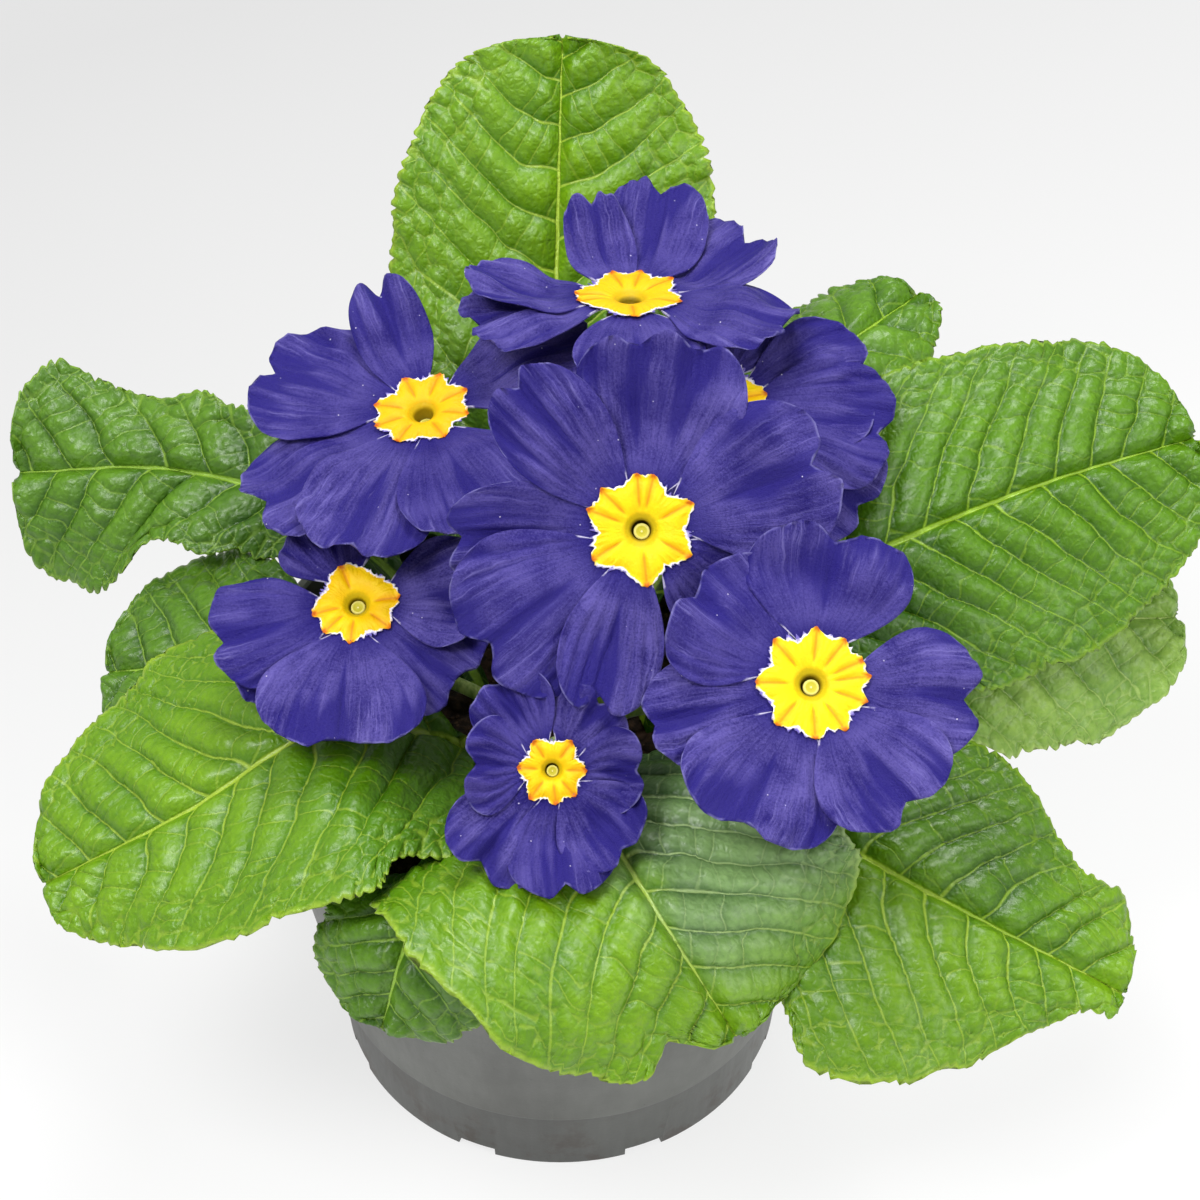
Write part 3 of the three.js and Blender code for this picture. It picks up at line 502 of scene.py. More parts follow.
class Field:
    """A number, vector or shade that varies over a surface: the output of a shader node."""

    def __init__(self, tree, output):
        self.tree = tree
        self.output = output

    def math(self, operation, other=0.0):
        return make(self.tree, "Math", {0: self, 1: other}, operation=operation)

    __add__ = partialmethod(math, "ADD")
    __sub__ = partialmethod(math, "SUBTRACT")
    __mul__ = partialmethod(math, "MULTIPLY")
    __truediv__ = partialmethod(math, "DIVIDE")
    __abs__ = partialmethod(math, "ABSOLUTE")
    most = partialmethod(math, "MAXIMUM")

    def __rsub__(self, other):
        return make(self.tree, "Math", {0: other, 1: self}, operation="SUBTRACT")

    def to_whole(self):
        """The distance to the nearest whole number."""
        return abs((self + 0.5).math("FRACT") - 0.5)

    def parts(self):
        """The three numbers of a vector."""
        node = self.tree.nodes.new("ShaderNodeSeparateXYZ")
        feed(self.tree, node.inputs[0], self)
        return [Field(self.tree, output) for output in node.outputs]

    def scaled(self, x, y, z):
        return make(self.tree, "VectorMath", {0: self, 1: (x, y, z)}, operation="MULTIPLY")

    def mask(self, low, high):
        """0 at low and 1 at high, eased between; low may lie above high."""
        sockets = {"Value": self, "From Min": low, "From Max": high}
        return make(self.tree, "MapRange", sockets, interpolation_type="SMOOTHSTEP")

    def ramp(self, low, high):
        """Runs from low to high as the field goes from 0 to 1."""
        return make(self.tree, "MapRange", {"Value": self, "To Min": low, "To Max": high})

    def tint(self, a, b):
        """Shade a where the field is 0 and shade b where it is 1. Plain shades are display values."""
        a, b = (colour(*shade) if isinstance(shade, tuple) else shade for shade in (a, b))
        return make(self.tree, "Mix", {0: self, 6: a, 7: b}, 2, data_type="RGBA")

    def noise(self, scale, detail=2.0, roughness=0.5):
        sockets = {"Vector": self, "Scale": scale, "Detail": detail, "Roughness": roughness}
        return make(self.tree, "TexNoise", sockets, "Fac")

    def cells(self, scale, feature="F1"):
        """The distance to the nearest random point."""
        return make(self.tree, "TexVoronoi", {"Vector": self, "Scale": scale}, "Distance", feature=feature)


class Look:
    """A material in the making: its base colour and bumps are laid on one after the other."""

    def __init__(self, name, **numbers):
        self.material = bpy.data.materials.new(name)
        self.material.use_nodes = True
        self.tree = self.material.node_tree
        self.base = None
        self.normal = None
        self.set(**numbers)

    def set(self, **values):
        """Set the shader's inputs by their names."""
        for name, value in values.items():
            feed(self.tree, self.tree.nodes["Principled BSDF"].inputs[name.replace("_", " ")], value)

    def value(self, name):
        """The three numbers that a mesh keeps for each point under a name."""
        return make(self.tree, "Attribute", {}, "Vector", attribute_name=name).parts()

    def place(self, scale=1000.0):
        """The object's own coordinates, in millimetres by default."""
        return make(self.tree, "TexCoord", {}, "Object").scaled(scale, scale, scale)

    def paint(self, share, shade, strength=None):
        """Lay a shade over the base colour, fully where the share is 1."""
        if strength is not None:
            share = share * strength
        self.base = share.tint(self.base, shade)

    def emboss(self, height, strength, distance):
        """Bump the surface, on top of the bumps that it has."""
        sockets = {"Height": height, "Strength": strength, "Distance": distance, "Normal": self.normal}
        self.normal = make(self.tree, "Bump", sockets)

    def finish(self, roughness):
        self.set(Base_Color=self.base, Roughness=roughness, Normal=self.normal)
        return self.material


# Shades of a leaf: in its hollows, painted darker as shade, on its swellings, painted lighter as light,
# and of its veins.
LEAF_SHADES = {
    "bright": [(58, 108, 0), (114, 158, 4), (168, 196, 60)],
    "middle": [(36, 80, 0), (92, 140, 0), (146, 184, 40)],
    "dark": [(30, 72, 4), (90, 135, 22), (144, 182, 60)],
    # painted shade in the hollows and a painted whitish-blue sheen on the swellings
    "blue_sheen": [(24, 70, 14), (136, 172, 104), (174, 202, 130)],
    # pale and greyish all over, a painted sheen
    "pale": [(92, 138, 44), (150, 186, 78), (186, 212, 116)],
}


def leaf_look(left, right):
    """The look of a leaf whose left and right halves have shades of their own."""
    look = Look(f"leaf_{left}_{right}", IOR=1.4, Coat_Weight=0.28, Coat_Roughness=0.26)
    across, phase, spacing = look.value("flat")
    margin, height, along = look.value("relief")
    rung, strength, net = look.value("vein")
    spot = look.place()
    drift = spot.noise(0.1, 3.0).ramp(-12.0, 12.0)
    half = (across + drift).mask(-5.0, 5.0) * along.mask(1.0, 0.7)
    hollow, swelling, vein = (half.tint(b, a) for a, b in zip(LEAF_SHADES[left], LEAF_SHADES[right]))
    # the base runs from the hollows' shade to the swellings' with the quilting's height, broken up by noise:
    # painted shade in the hollows and painted light on the swellings
    shade = height.ramp(0.05, 0.95) + spot.noise(0.07, 3.0).ramp(-0.5, 0.5)
    look.base = (shade + spot.noise(0.9, 2.0).ramp(-0.2, 0.2)).tint(hollow, swelling)
    # beside the side veins the skin dips into a furrow, painted dark as shade, and towards the base the green
    # is darker, partly a deeper green of its own and partly painted shade from the blooms above
    near = phase.to_whole() * spacing
    look.paint(near.mask(1.3, 0.3) * margin.ramp(0.34, 0.1), hollow)
    look.paint(along.mask(0.62, 0.2), hollow, 0.7)
    # the veins of the net, the cross veins, the side veins, the midrib and the edge are pale
    lines = net.mask(0.36, 0.06) * margin.mask(0.5, 0.8) * 0.38
    lines = lines.most((rung.to_whole() * RUNG).mask(0.28, 0.05) * strength.ramp(0.0, 0.9) * 0.4)
    lines = lines.most(near.mask(margin.ramp(0.42, 0.26), 0.08) * margin.ramp(1.0, 0.45) * 0.75)
    lines = lines.most(abs(across).mask(along.ramp(1.2, 0.35), along.ramp(0.7, 0.1)) * 0.95)
    lines = lines.most(margin.mask(0.965, 0.995) * 0.55)
    look.paint(lines, vein)
    look.emboss(spot.cells(0.85, "DISTANCE_TO_EDGE").mask(0.0, 0.35), 0.25, 0.0004)
    look.emboss(spot.noise(0.5, 1.5), 0.35, 0.001)
    look.emboss(1.0 - lines, 0.5, 0.0004)
    return look.finish(spot.noise(0.8, 3.0).ramp(0.28, 0.56))


def petal_look():
    look = Look("petal_violet", Sheen_Weight=0.08, Sheen_Roughness=0.4, IOR=1.34)
    look.set(Sheen_Tint=colour(150, 140, 235))
    fan, reach, tone = look.value("flat")
    share, rim, side = look.value("rim")
    hollow, _, eye = look.value("fold")
    spot = look.place()
    # fine streaks that fan out from the star, and the velvety grain of the skin
    wander = fan * 1.5 + spot.noise(0.25, 2.0).ramp(-1.0, 1.0)
    streaks = make(look.tree, "CombineXYZ", {0: wander, 1: reach * 0.07}).noise(1.0, 5.0, 0.72)
    grain = spot.noise(2.6, 3.0, 0.7)
    cloud = spot.noise(0.16, 3.0)
    shade = (streaks * 0.34 + grain * 0.3 + cloud * 0.36).mask(0.36, 0.64)
    look.base = shade.tint((27, 13, 108), (99, 89, 168))
    look.paint(tone.mask(1.0, 0.0), (31, 18, 118), 0.4)
    # pale ribs towards the rim, a painted sheen of the velvet along its fine ribs
    look.paint(streaks.mask(0.54, 0.68) * share.mask(0.35, 0.95), (142, 134, 206), 0.4)
    # smooth and deep in the folds and towards the star: painted shade
    look.paint(share.mask(0.3, 0.0).most(hollow.mask(0.04, 0.7)), (30, 18, 118), 0.88)
    # thin pale threads along parts of the rim, white claws between the petals, and white specks painted as
    # the velvet's glints
    look.paint(rim.mask(0.45, 0.08) * spot.noise(0.3, 2.0).mask(0.46, 0.62), (146, 141, 206), 0.5)
    claw = reach / eye + spot.noise(1.2, 3.0).ramp(-1.2, 1.2)
    look.paint(claw.mask(9.0, 8.0) * side.mask(0.5, 0.15), (214, 208, 236), 0.75)
    look.paint(spot.cells(0.3).mask(0.05, 0.02), (226, 224, 242), 0.8)
    look.emboss(streaks, 0.6, 0.0006)
    look.emboss(grain, 0.7, 0.0005)
    return look.finish(cloud.ramp(0.5, 0.66))


def star_look():
    look = Look("star_yellow", IOR=1.33)
    fringe, off, radius = look.value("star")
    warm = look.value("tone")[0]
    spot = look.place()
    jag = spot.noise(1.7, 3.0, 0.6)
    look.base = spot.noise(0.5).mask(0.3, 0.7).tint((246, 206, 0), (250, 220, 2))
    look.paint(warm, (248, 176, 4))
    # an orange wedge with a darker line along it runs out to each tip
    wide = radius.mask(3.4, 6.5).ramp(0.2, 1.25) + jag.ramp(-0.35, 0.35)
    wedge = off.mask(wide, 0.0) * radius.mask(3.2, 4.4)
    look.paint(wedge, (244, 158, 0), warm.ramp(0.5, 0.75))
    look.paint(off.mask(0.34, 0.05) * radius.mask(3.2, 4.6), (196, 112, 0), 0.5)
    look.paint(fringe.mask(-0.75, -0.1) * off.mask(0.75, 0.2), (186, 70, 0), 0.8)
    # a white fringe that fades into the petals' violet
    white = (fringe + jag.ramp(-0.5, 0.5)).mask(-0.06, 0.16) * off.mask(0.5, 1.5)
    fade = (fringe + jag.ramp(-0.6, 0.6)).mask(0.15, 0.8)
    look.paint(white, fade.tint((240, 234, 238), (112, 100, 182)))
    # the throat is a darker olive, and darkest in the tube, where the darkening is painted shade
    look.paint((radius + jag.ramp(-0.3, 0.3)).mask(3.3, 2.3), (186, 166, 8), 0.7)
    look.paint(radius.mask(2.2, 1.5), (128, 108, 10))
    look.emboss(spot.noise(2.2, 3.0), 0.35, 0.0003)
    return look.finish(jag.ramp(0.45, 0.6))


def stigma_look():
    look = Look("stigma_green", IOR=1.4)
    radius = look.value("star")[0]
    look.base = radius.mask(0.6, 0.86).tint((196, 186, 44), (226, 218, 120))
    look.paint(radius.mask(0.16, 0.08), (236, 232, 170))
    look.emboss(look.place().noise(6.0, 2.0), 0.4, 0.0001)
    return look.finish(0.5)


def stem_look():
    look = Look("stem_green", Sheen_Weight=0.35, Sheen_Roughness=0.4, IOR=1.4)
    spot = look.place()
    grain = spot.scaled(1.0, 1.0, 0.2).noise(1.2, 3.0)
    look.base = grain.mask(0.3, 0.7).tint((112, 140, 60), (168, 188, 104))
    look.emboss(spot.noise(3.0, 3.0), 0.4, 0.0002)
    return look.finish(grain.ramp(0.5, 0.65))


def soil_look():
    look = Look("soil_brown", IOR=1.35)
    spot = look.place()
    grain = spot.noise(0.5, 6.0, 0.65)
    look.base = grain.mask(0.35, 0.7).tint((26, 18, 13), (78, 58, 42))
    look.paint(spot.cells(0.35).mask(0.16, 0.08), (120, 94, 66), 0.5)
    look.emboss(grain, 0.8, 0.0012)
    return look.finish(grain.ramp(0.75, 0.98))


def pot_look():
    look = Look("pot_plastic", IOR=1.46)
    spot = look.place()
    height = spot.parts()[2]
    scuffs = spot.scaled(1.0, 1.0, 0.15).noise(0.35, 4.0, 0.7)
    look.base = spot.noise(0.035, 4.0, 0.6).mask(0.35, 0.7).tint((83, 84, 80), (102, 104, 99))
    look.paint(scuffs.mask(0.6, 0.8), (124, 126, 120), 0.35)
    # below the ledge the wall is painted darker as shade, and a painted shadow line runs along under it
    look.paint(height.mask(15.6, 15.0), (58, 60, 59), 0.4)
    look.paint(abs(height - 15.1).mask(0.5, 0.1), (40, 41, 39), 0.6)
    # smudges of soil near the foot, and specks of it
    look.paint(spot.noise(0.12, 5.0, 0.7).mask(0.48, 0.62) * height.mask(20.0, 1.0), (58, 46, 36), 0.7)
    look.paint(spot.cells(0.25).mask(0.05, 0.03), (40, 32, 26), 0.5)
    look.emboss(spot.noise(1.6, 3.0), 0.12, 0.0002)
    return look.finish(scuffs.ramp(0.36, 0.6))


def floor_look():
    """Pale paper that glows with painted light, like a light table, less towards the back, where it looks a
    little greyer.
    """
    look = Look("floor_white", IOR=1.3, Emission_Strength=1.0)
    spot = look.place(1.0)
    x, y, _ = spot.parts()
    # the paper's glow is painted light, brighter in front and dimmer towards the back
    look.set(Emission_Color=((y - x * 0.45 + 0.25) / 0.55).ramp(0.97, 0.46))
    look.base = spot.noise(3.0, 2.0).tint((122, 122, 122), (126, 126, 126))
    return look.finish(0.8)


# ---- Leaves


def midrib_curve(points, steps=600):
    """Positions and tangents along a centripetal Catmull-Rom curve, with the length run at each."""
    knots = np.array(points, float)
    knots = np.vstack([2 * knots[0] - knots[1], knots, 2 * knots[-1] - knots[-2]])
    spans = len(points) - 1
    s = np.linspace(0, spans, steps + 1)
    k = np.minimum(s.astype(int), spans - 1)
    f = (s - k)[:, None]
    a, b, c, d = (knots[k + i] for i in range(4))
    gaps = [np.linalg.norm(q - p, axis=1, keepdims=True) ** 0.5 for p, q in ((a, b), (b, c), (c, d))]
    before, within, after = gaps
    leave = (b - a) / before - (c - a) / (before + within) + (c - b) / within
    arrive = (c - b) / within - (d - b) / (within + after) + (d - c) / after
    leave, arrive = leave * within, arrive * within
    points = b + leave * f + (3 * (c - b) - 2 * leave - arrive) * f**2 + (2 * (b - c) + leave + arrive) * f**3
    run = np.concatenate([[0], np.cumsum(np.linalg.norm(np.diff(points, axis=0), axis=1))])
    return points, unit(np.gradient(points, axis=0)), run


def read_curve(table, run, distance):
    return join(*(np.interp(distance, run, column) for column in table.T))


def leaf_outline(leaf, blade_length, t, side):
    """The half width of a leaf and the place along it that its rows at t reach at the edge."""
    half = np.where(side > 0, *leaf["half"])
    rise = clip((t - STALK_SHARE) / (WIDE_SHARE - STALK_SHARE))
    turn = clip((t - WIDE_SHARE) / (1 - WIDE_SHARE)) * math.pi / 2
    widest = leaf["widest"]
    opening = mix(STALK_HALF_WIDTH, half, ease(rise) ** leaf["full"])
    closing = half * np.maximum(np.cos(turn), 0) ** leaf["blunt"]
    width = np.where(t < WIDE_SHARE, opening, closing)
    reach = blade_length * np.where(t < WIDE_SHARE, widest * rise, widest + (1 - widest) * np.sin(turn))
    reach = np.where(t < STALK_SHARE, -leaf["stalk"] * (1 - t / STALK_SHARE), reach)
    for lobe_side, place, size, span in leaf.get("lobes", ()):
        swell = 1 + size * bell((t - place) / span)
        width = width * np.where((side == lobe_side) & (t >= STALK_SHARE), swell, 1)
    return width, reach


def leaf_margin(leaf, blade_length, t, side):
    """The distance run along the leaf's edge up to the rows at t."""
    shares = np.linspace(STALK_SHARE, 1, 500)
    runs = []
    for half in (-1, 1):
        width, reach = leaf_outline(leaf, blade_length, shares, half)
        run = np.concatenate([[0], np.cumsum(np.hypot(np.diff(width), np.diff(reach)))])
        runs.append(np.interp(t, shares, run))
    return np.where(side > 0, runs[1], runs[0])


def leaf_teeth(margin, seed):
    """How far the edge stands out: broad lobes, with uneven teeth on them."""
    lobes = LOBE * bumps(margin / LOBE_WIDTH, 0, seed)
    uneven = margin / TOOTH_WIDTH + 0.35 * bumps(margin / 3, 5, seed)
    depth = TOOTH * (1 + 0.7 * bumps(margin / 2.5, 9, seed))
    return lobes + depth * (np.abs(np.sin(math.pi * uneven)) ** 0.7 - 0.6)


def leaf_veins(leaf, blade_length, place, flat, seed):
    """Where points lie among a leaf's veins: the number of side veins up to each, the number of cross
    veins out to it, and the distances run along and across the side veins."""
    away = np.abs(flat)
    begun = place - VEIN_SLANT * away - VEIN_CURVE * away**2
    share = begun / blade_length
    phase = leaf["veins"] * (share + 0.12 * share * np.abs(share)) / 1.12 + np.where(flat > 0, 0.0, 0.35)
    bend = 0.17 * bumps(flat / 8 + 20, phase * 0.9, seed)
    phase = phase + bend + 0.07 * bumps(flat / 3 + 9, phase * 1.7, seed)
    outward = VEIN_OUTWARD * away + VEIN_FORWARD * place
    rung = outward / RUNG + 3.7 * np.floor(phase) + 0.4 * bumps(phase * 2.2, outward / 4, seed + 7)
    return phase, rung, outward + 50 * (flat > 0), VEIN_OUTWARD * begun


def leaf_relief(phase, rung, outward, begun, out, seed):
    """The quilting's height, its share of the greatest height, the strength of each cross vein, and
    the distance to the net that the side veins turn into near the edge."""
    swell = np.sin(math.pi * (phase % 1) ** 1.3) ** 0.7
    border = cells(outward / MARGIN_CELL + 20, begun / MARGIN_CELL + 20, seed + 8)
    swell = mix(swell, 1 - np.exp(-border / 0.3), 0.75 * ease((out - 0.5) / 0.3))
    nearest = np.round(rung)
    strength = clip(0.55 + 0.6 * bumps(nearest, 5 * np.floor(phase), seed))
    pillow = 1 - strength * (1 - np.sin(math.pi * np.abs(rung - nearest)) ** 0.6)
    small = 1 - np.exp(-cells(outward / CELL + 40, begun / CELL + 40, seed + 1) / 0.3)
    height = QUILT * swell + LADDER * pillow * swell**0.4 + NET * small * swell**0.2
    # the share by which the look paints shade into the hollows and light onto the swellings
    share = swell**0.5 * (0.45 + 0.55 * pillow) * (0.65 + 0.35 * small)
    return height, share, strength, border * MARGIN_CELL / 2


def leaf_axes(leaf, tangent):
    """The directions to the left of the midrib and up from the blade, at each point."""
    tip = np.subtract(leaf["midrib"][-1], leaf["midrib"][0])
    left = unit(np.array([-tip[1], tip[0], 0.0]))
    left = unit(left - (tangent @ left)[..., None] * tangent)
    return left, np.cross(tangent, left)


def leaf_waves(leaf, t, out, side, along, margin, seed):
    """The height of the waves and the frill of a leaf's edge."""
    waves, height = leaf["wave"]
    ripple = np.sin(2 * math.pi * waves * t + np.where(side > 0, *WAVE_STARTS))
    ripple = height * out**2 * ease(along * 2) * ripple
    frill = LEAF_FRILL * bumps(margin / LEAF_FRILL_WIDTH, out + side * 3, seed)
    return ripple + frill * ease((out - 0.5) / 0.5) * ease((t - STALK_SHARE) * 6)


def leaf_bow(leaf, width, side, along, relief):
    """How far points lie to the left of the midrib and up from it, once each half is bowed and rolled."""
    half = np.where(side > 0, *leaf["half"])
    bend = np.radians(np.where(side > 0, *leaf["bow"])) / half
    across = np.sin(bend * width) / bend * side
    rise = (1 - np.cos(bend * width)) / bend + relief
    roll = np.radians(mix(*leaf["roll"], along)) * ease(along * 3)
    return across * np.cos(roll) - rise * np.sin(roll), across * np.sin(roll) + rise * np.cos(roll)


def leaf_surface(leaf, t, v, seed):
    """The blade's surface at rows t and places v across, from -1 on the right to 1 on the left, how far
    its veins stand out below it, and the numbers for its look."""
    points, tangents, run = midrib_curve(leaf["midrib"])
    blade_length = run[-1] - leaf["stalk"]
    side = np.where(v < 0, -1, 1)
    out = np.abs(v)
    edge, reach = leaf_outline(leaf, blade_length, t, side)
    late = clip((t - WIDE_SHARE) / (1 - WIDE_SHARE))
    lag = np.where(t < STALK_SHARE, 0, 0.5 * (edge - STALK_HALF_WIDTH) * (1 - late**3))
    flat = side * edge * out
    place = reach - lag * (1 - out**1.2)
    for middle, depth, span in leaf.get("bites", ()):
        place = place - depth * bell((flat - middle) / span) * ease((t - 0.7) / 0.25)
    distance = np.clip(leaf["stalk"] + place, 0, run[-1])
    left, up = leaf_axes(leaf, read_curve(tangents, run, distance))
    along = clip(place / blade_length)
    inside = ease((t - STALK_SHARE) * 6)
    # the veins, and the swellings between them
    phase, rung, outward, begun = leaf_veins(leaf, blade_length, place, flat, seed)
    height, share, strength, net = leaf_relief(phase, rung, outward, begun, out, seed)
    uneven = 1 + 0.3 * bumps(flat / 9, phase * 0.7, seed + 2)
    relief = height * uneven * clip(np.abs(flat) / 2.0) * (1 - 0.4 * out**4)
    trough = TROUGH * bell(flat / TROUGH_WIDTH)
    # the teeth and waves of the edge, and the bow and roll of the blade
    margin = leaf_margin(leaf, blade_length, t, side)
    teeth = leaf_teeth(margin + 300 * (side > 0), seed + 3) * inside * ease((out - 0.8) / 0.2)
    waves = leaf_waves(leaf, t, out, side, along, margin, seed + 4)
    relief = waves + (relief - trough) * inside
    sideways, upward = leaf_bow(leaf, (edge + teeth) * out, side, along, relief)
    surface = read_curve(points, run, distance) + left * sideways[..., None] + up * upward[..., None]
    # what stands out below: the stalk, the midrib and the side veins
    depth = STALK_DEPTH * mix(1, 0.25, clip((t - STALK_SHARE) / (1 - STALK_SHARE)))
    rib = depth * bell(flat / mix(STALK_FADE, MIDRIB_FADE, inside))
    side_vein = SIDE_VEIN * bell((phase - np.round(phase)) / 0.1) * (1 - out) * inside
    values = {
        "flat": join(flat, phase, 0.8 * blade_length / leaf["veins"]),
        "relief": join(out * inside, share * inside, along),
        "vein": join(rung, strength, net),
    }
    return surface, rib + side_vein, values


def build_leaf(name, leaf, look, seed):
    _, _, run = midrib_curve(leaf["midrib"])
    rows = 2 * int((run[-1] - leaf["stalk"]) / LEAF_ROW / 2) + 1
    columns = 2 * int(sum(leaf["half"]) / LEAF_COLUMN / 2) + 1
    stalk = np.linspace(0, STALK_SHARE, STALK_ROWS, endpoint=False)
    shares = np.concatenate([stalk, np.linspace(STALK_SHARE, LAST_SHARE, rows)])
    t, v = np.meshgrid(shares, np.linspace(-1, 1, columns), indexing="ij")
    surface, rib, values = leaf_surface(leaf, t, v, seed)
    thin = BLADE_HALF * mix(1, 0.5, ease((np.abs(v) - 0.7) / 0.3))
    solid, values = sheet(surface, thin, thin + rib, values)
    piece(f"{name}_blade", solid, look, name, values)


# ---- Blooms


def bloom_frame(bloom):
    """The bloom's own axes in rows: to its right, to its top, and the way it faces."""
    facing = unit(np.array(bloom["facing"], float))
    right = np.array([1.0, 0.0, 0.0])
    right = unit(right - facing * (right @ facing))
    return np.stack([right, np.cross(facing, right), facing])


def in_plant(solid, bloom):
    """A solid made in its bloom's own frame, put where the bloom is."""
    points, quads, triangles = solid
    return points @ bloom_frame(bloom) + np.array(bloom["at"], float), quads, triangles


def cone_height(radius):
    return radius * math.tan(math.radians(CONE_ANGLE))


def petal_waves(fan, t, v, free, seed):
    """The height of a petal's broad waves, its fine pleats, its frilled rim and its soft swells."""
    wave = PETAL_WAVE * free * np.sin(5 * v) * (0.4 + 0.6 * t)
    pleats = PLEAT * np.sin(2 * math.pi * fan / PLEAT_WIDTH + 2.2 * bumps(fan / 4, t * 2, seed + 1))
    pleats = pleats * (1 + 0.8 * bumps(fan / 5 + 30, t + 3, seed + 6))
    frill = PETAL_FRILL * bumps(fan / PETAL_FRILL_WIDTH, t * 1.5, seed + 2) * ease((t - 0.5) / 0.5) * free
    billow = BILLOW * bumps(fan / BILLOW_WIDTH, t * 2 + 7, seed + 3) * free
    return wave + pleats * ease(t * 1.4) + frill + billow


def petal_surface(petal, bloom, t, v, seed, fold_seed):
    """A petal's surface in its bloom's frame, at rows t from the claw to the rim and places v across, and
    the numbers for its look."""
    direction, length, half, lift, roll, layer, *notches = petal
    notches = (notches or [[0]])[0]
    eye = bloom["eye"]
    star = STAR_RADIUS * eye
    start = PETAL_START * eye
    # the outline
    widest = mix(start, length, PETAL_WIDEST)
    crown = np.sqrt(np.maximum(0, 1 - v * v)) ** 0.8
    notch = NOTCH * (length - start) * sum(bell((v - place) / NOTCH_SPAN) for place in notches)
    fan = v * half
    rim = widest + (length - widest) * crown - notch
    rim = rim + crown * (0.45 * bumps(fan / 2.2, 0, seed) + 0.5 * bumps(fan / 5 + 9, 0, seed))
    reach = mix(start, rim, t)
    across = fan * mix(CLAW_HALF_WIDTH * eye / half, 1, np.sin(math.pi / 2 * t))
    # the waves, the crease from each notch, the roll, the lift and the layer
    free = ease((reach - star) / (0.55 * length))
    crease = CREASE * sum(bell((fan - place * half) / CREASE_WIDTH) for place in notches) * free
    wave = petal_waves(fan, t, v, free, seed) - crease
    tilt = math.radians(roll) * free
    sideways = across * np.cos(tilt) - wave * np.sin(tilt)
    parting = mix(0.14, 1, ease((reach - 0.8 * star) / 7))
    slope = mix(cone_height(1), math.tan(math.radians(lift)), free)
    height = cone_height(np.minimum(reach, star)) + slope * np.maximum(reach - star, 0)
    height = height + LAYER * (layer - TOP_LAYER) * parting + across * np.sin(tilt) + wave * np.cos(tilt)
    angle = math.radians(direction)
    x = reach * math.cos(angle) - sideways * math.sin(angle)
    y = reach * math.sin(angle) + sideways * math.cos(angle)
    # folds that all the petals of a bloom share where they overlap, so that none cuts through another
    swing = bumps(x / FOLD_WIDTH + 20, y / FOLD_WIDTH + 20, fold_seed)
    height = height + FOLD * bloom.get("folds", 1) * swing * ease((reach - star) / FOLD_WIDTH)
    # how deep a point lies in a crease, a wave's trough or a fold, where the look paints shade
    dip = clip(0.7 * crease + 0.9 * clip(-wave) + 0.6 * clip(-swing * free))
    values = {
        "flat": join(fan, reach, 0),
        "rim": join(t, (1 - t) * (rim - start), (1 - np.abs(v)) * half * 2),
        "fold": join(dip, 0, eye),
    }
    return join(x, y, height), values


def build_petals(name, bloom, look, seed):
    shares = np.linspace(0, 1, PETAL_ROWS) ** 0.9
    turns = np.linspace(-1, 1, PETAL_COLUMNS)
    t, v = np.meshgrid(mix(CLAW_SHARE, 1, shares), np.sin(turns * math.pi / 2), indexing="ij")
    thin = PETAL_HALF * mix(1, 0.5, ease(t))
    tones = np.random.default_rng(seed).uniform(0, 1, len(bloom["petals"]))
    solids, numbers = [], []
    for k, petal in enumerate(bloom["petals"]):
        surface, values = petal_surface(petal, bloom, t, v, seed + 10 * k, seed + 5)
        values["flat"] += np.array([40.0 * k, 0, tones[k]])
        solid, values = sheet(surface, thin, thin, values)
        solids.append(solid)
        numbers.append(values)
    values = {key: np.concatenate([part[key] for part in numbers]) for key in values}
    solid = in_plant(merge(solids), bloom)
    piece(f"{name}_corolla", solid, look, f"{name}_petals", values)


def star_outline(bloom, seed):
    """The angles round a star, and for each its yellow radius, its fringe, and the angle to the nearest
    tip."""
    tips = np.sort(np.radians(bloom.get("tips") or [petal[0] % 360 for petal in bloom["petals"]]))
    angle = around(STAR_STEPS)
    after = np.searchsorted(tips, angle) % len(tips)
    gap = (tips[after] - tips[after - 1]) % (2 * math.pi)
    share = ((angle - tips[after - 1]) % (2 * math.pi)) / gap
    off = np.minimum(share, 1 - share)
    # the valley between two tips is the deeper the farther they are apart
    lobe = 1 - clip(gap / 0.9) * (2 * off) ** 0.8
    eye = bloom["eye"]
    steps = angle * STAR_STEPS / (2 * math.pi)
    hairs = 0.45 + 1.3 * clip(bumps(steps / 1.5 + 7, 0, seed))
    tall = 0.3 * clip(bumps(np.round(steps / 9), 3, seed))
    yellow = eye * (mix(STAR_VALLEY, STAR_RADIUS + 0.3, lobe) + 0.3 * bumps(steps / 3, 0, seed))
    return angle, yellow, eye * (0.03 + hairs * (1 - lobe) + tall), off * gap


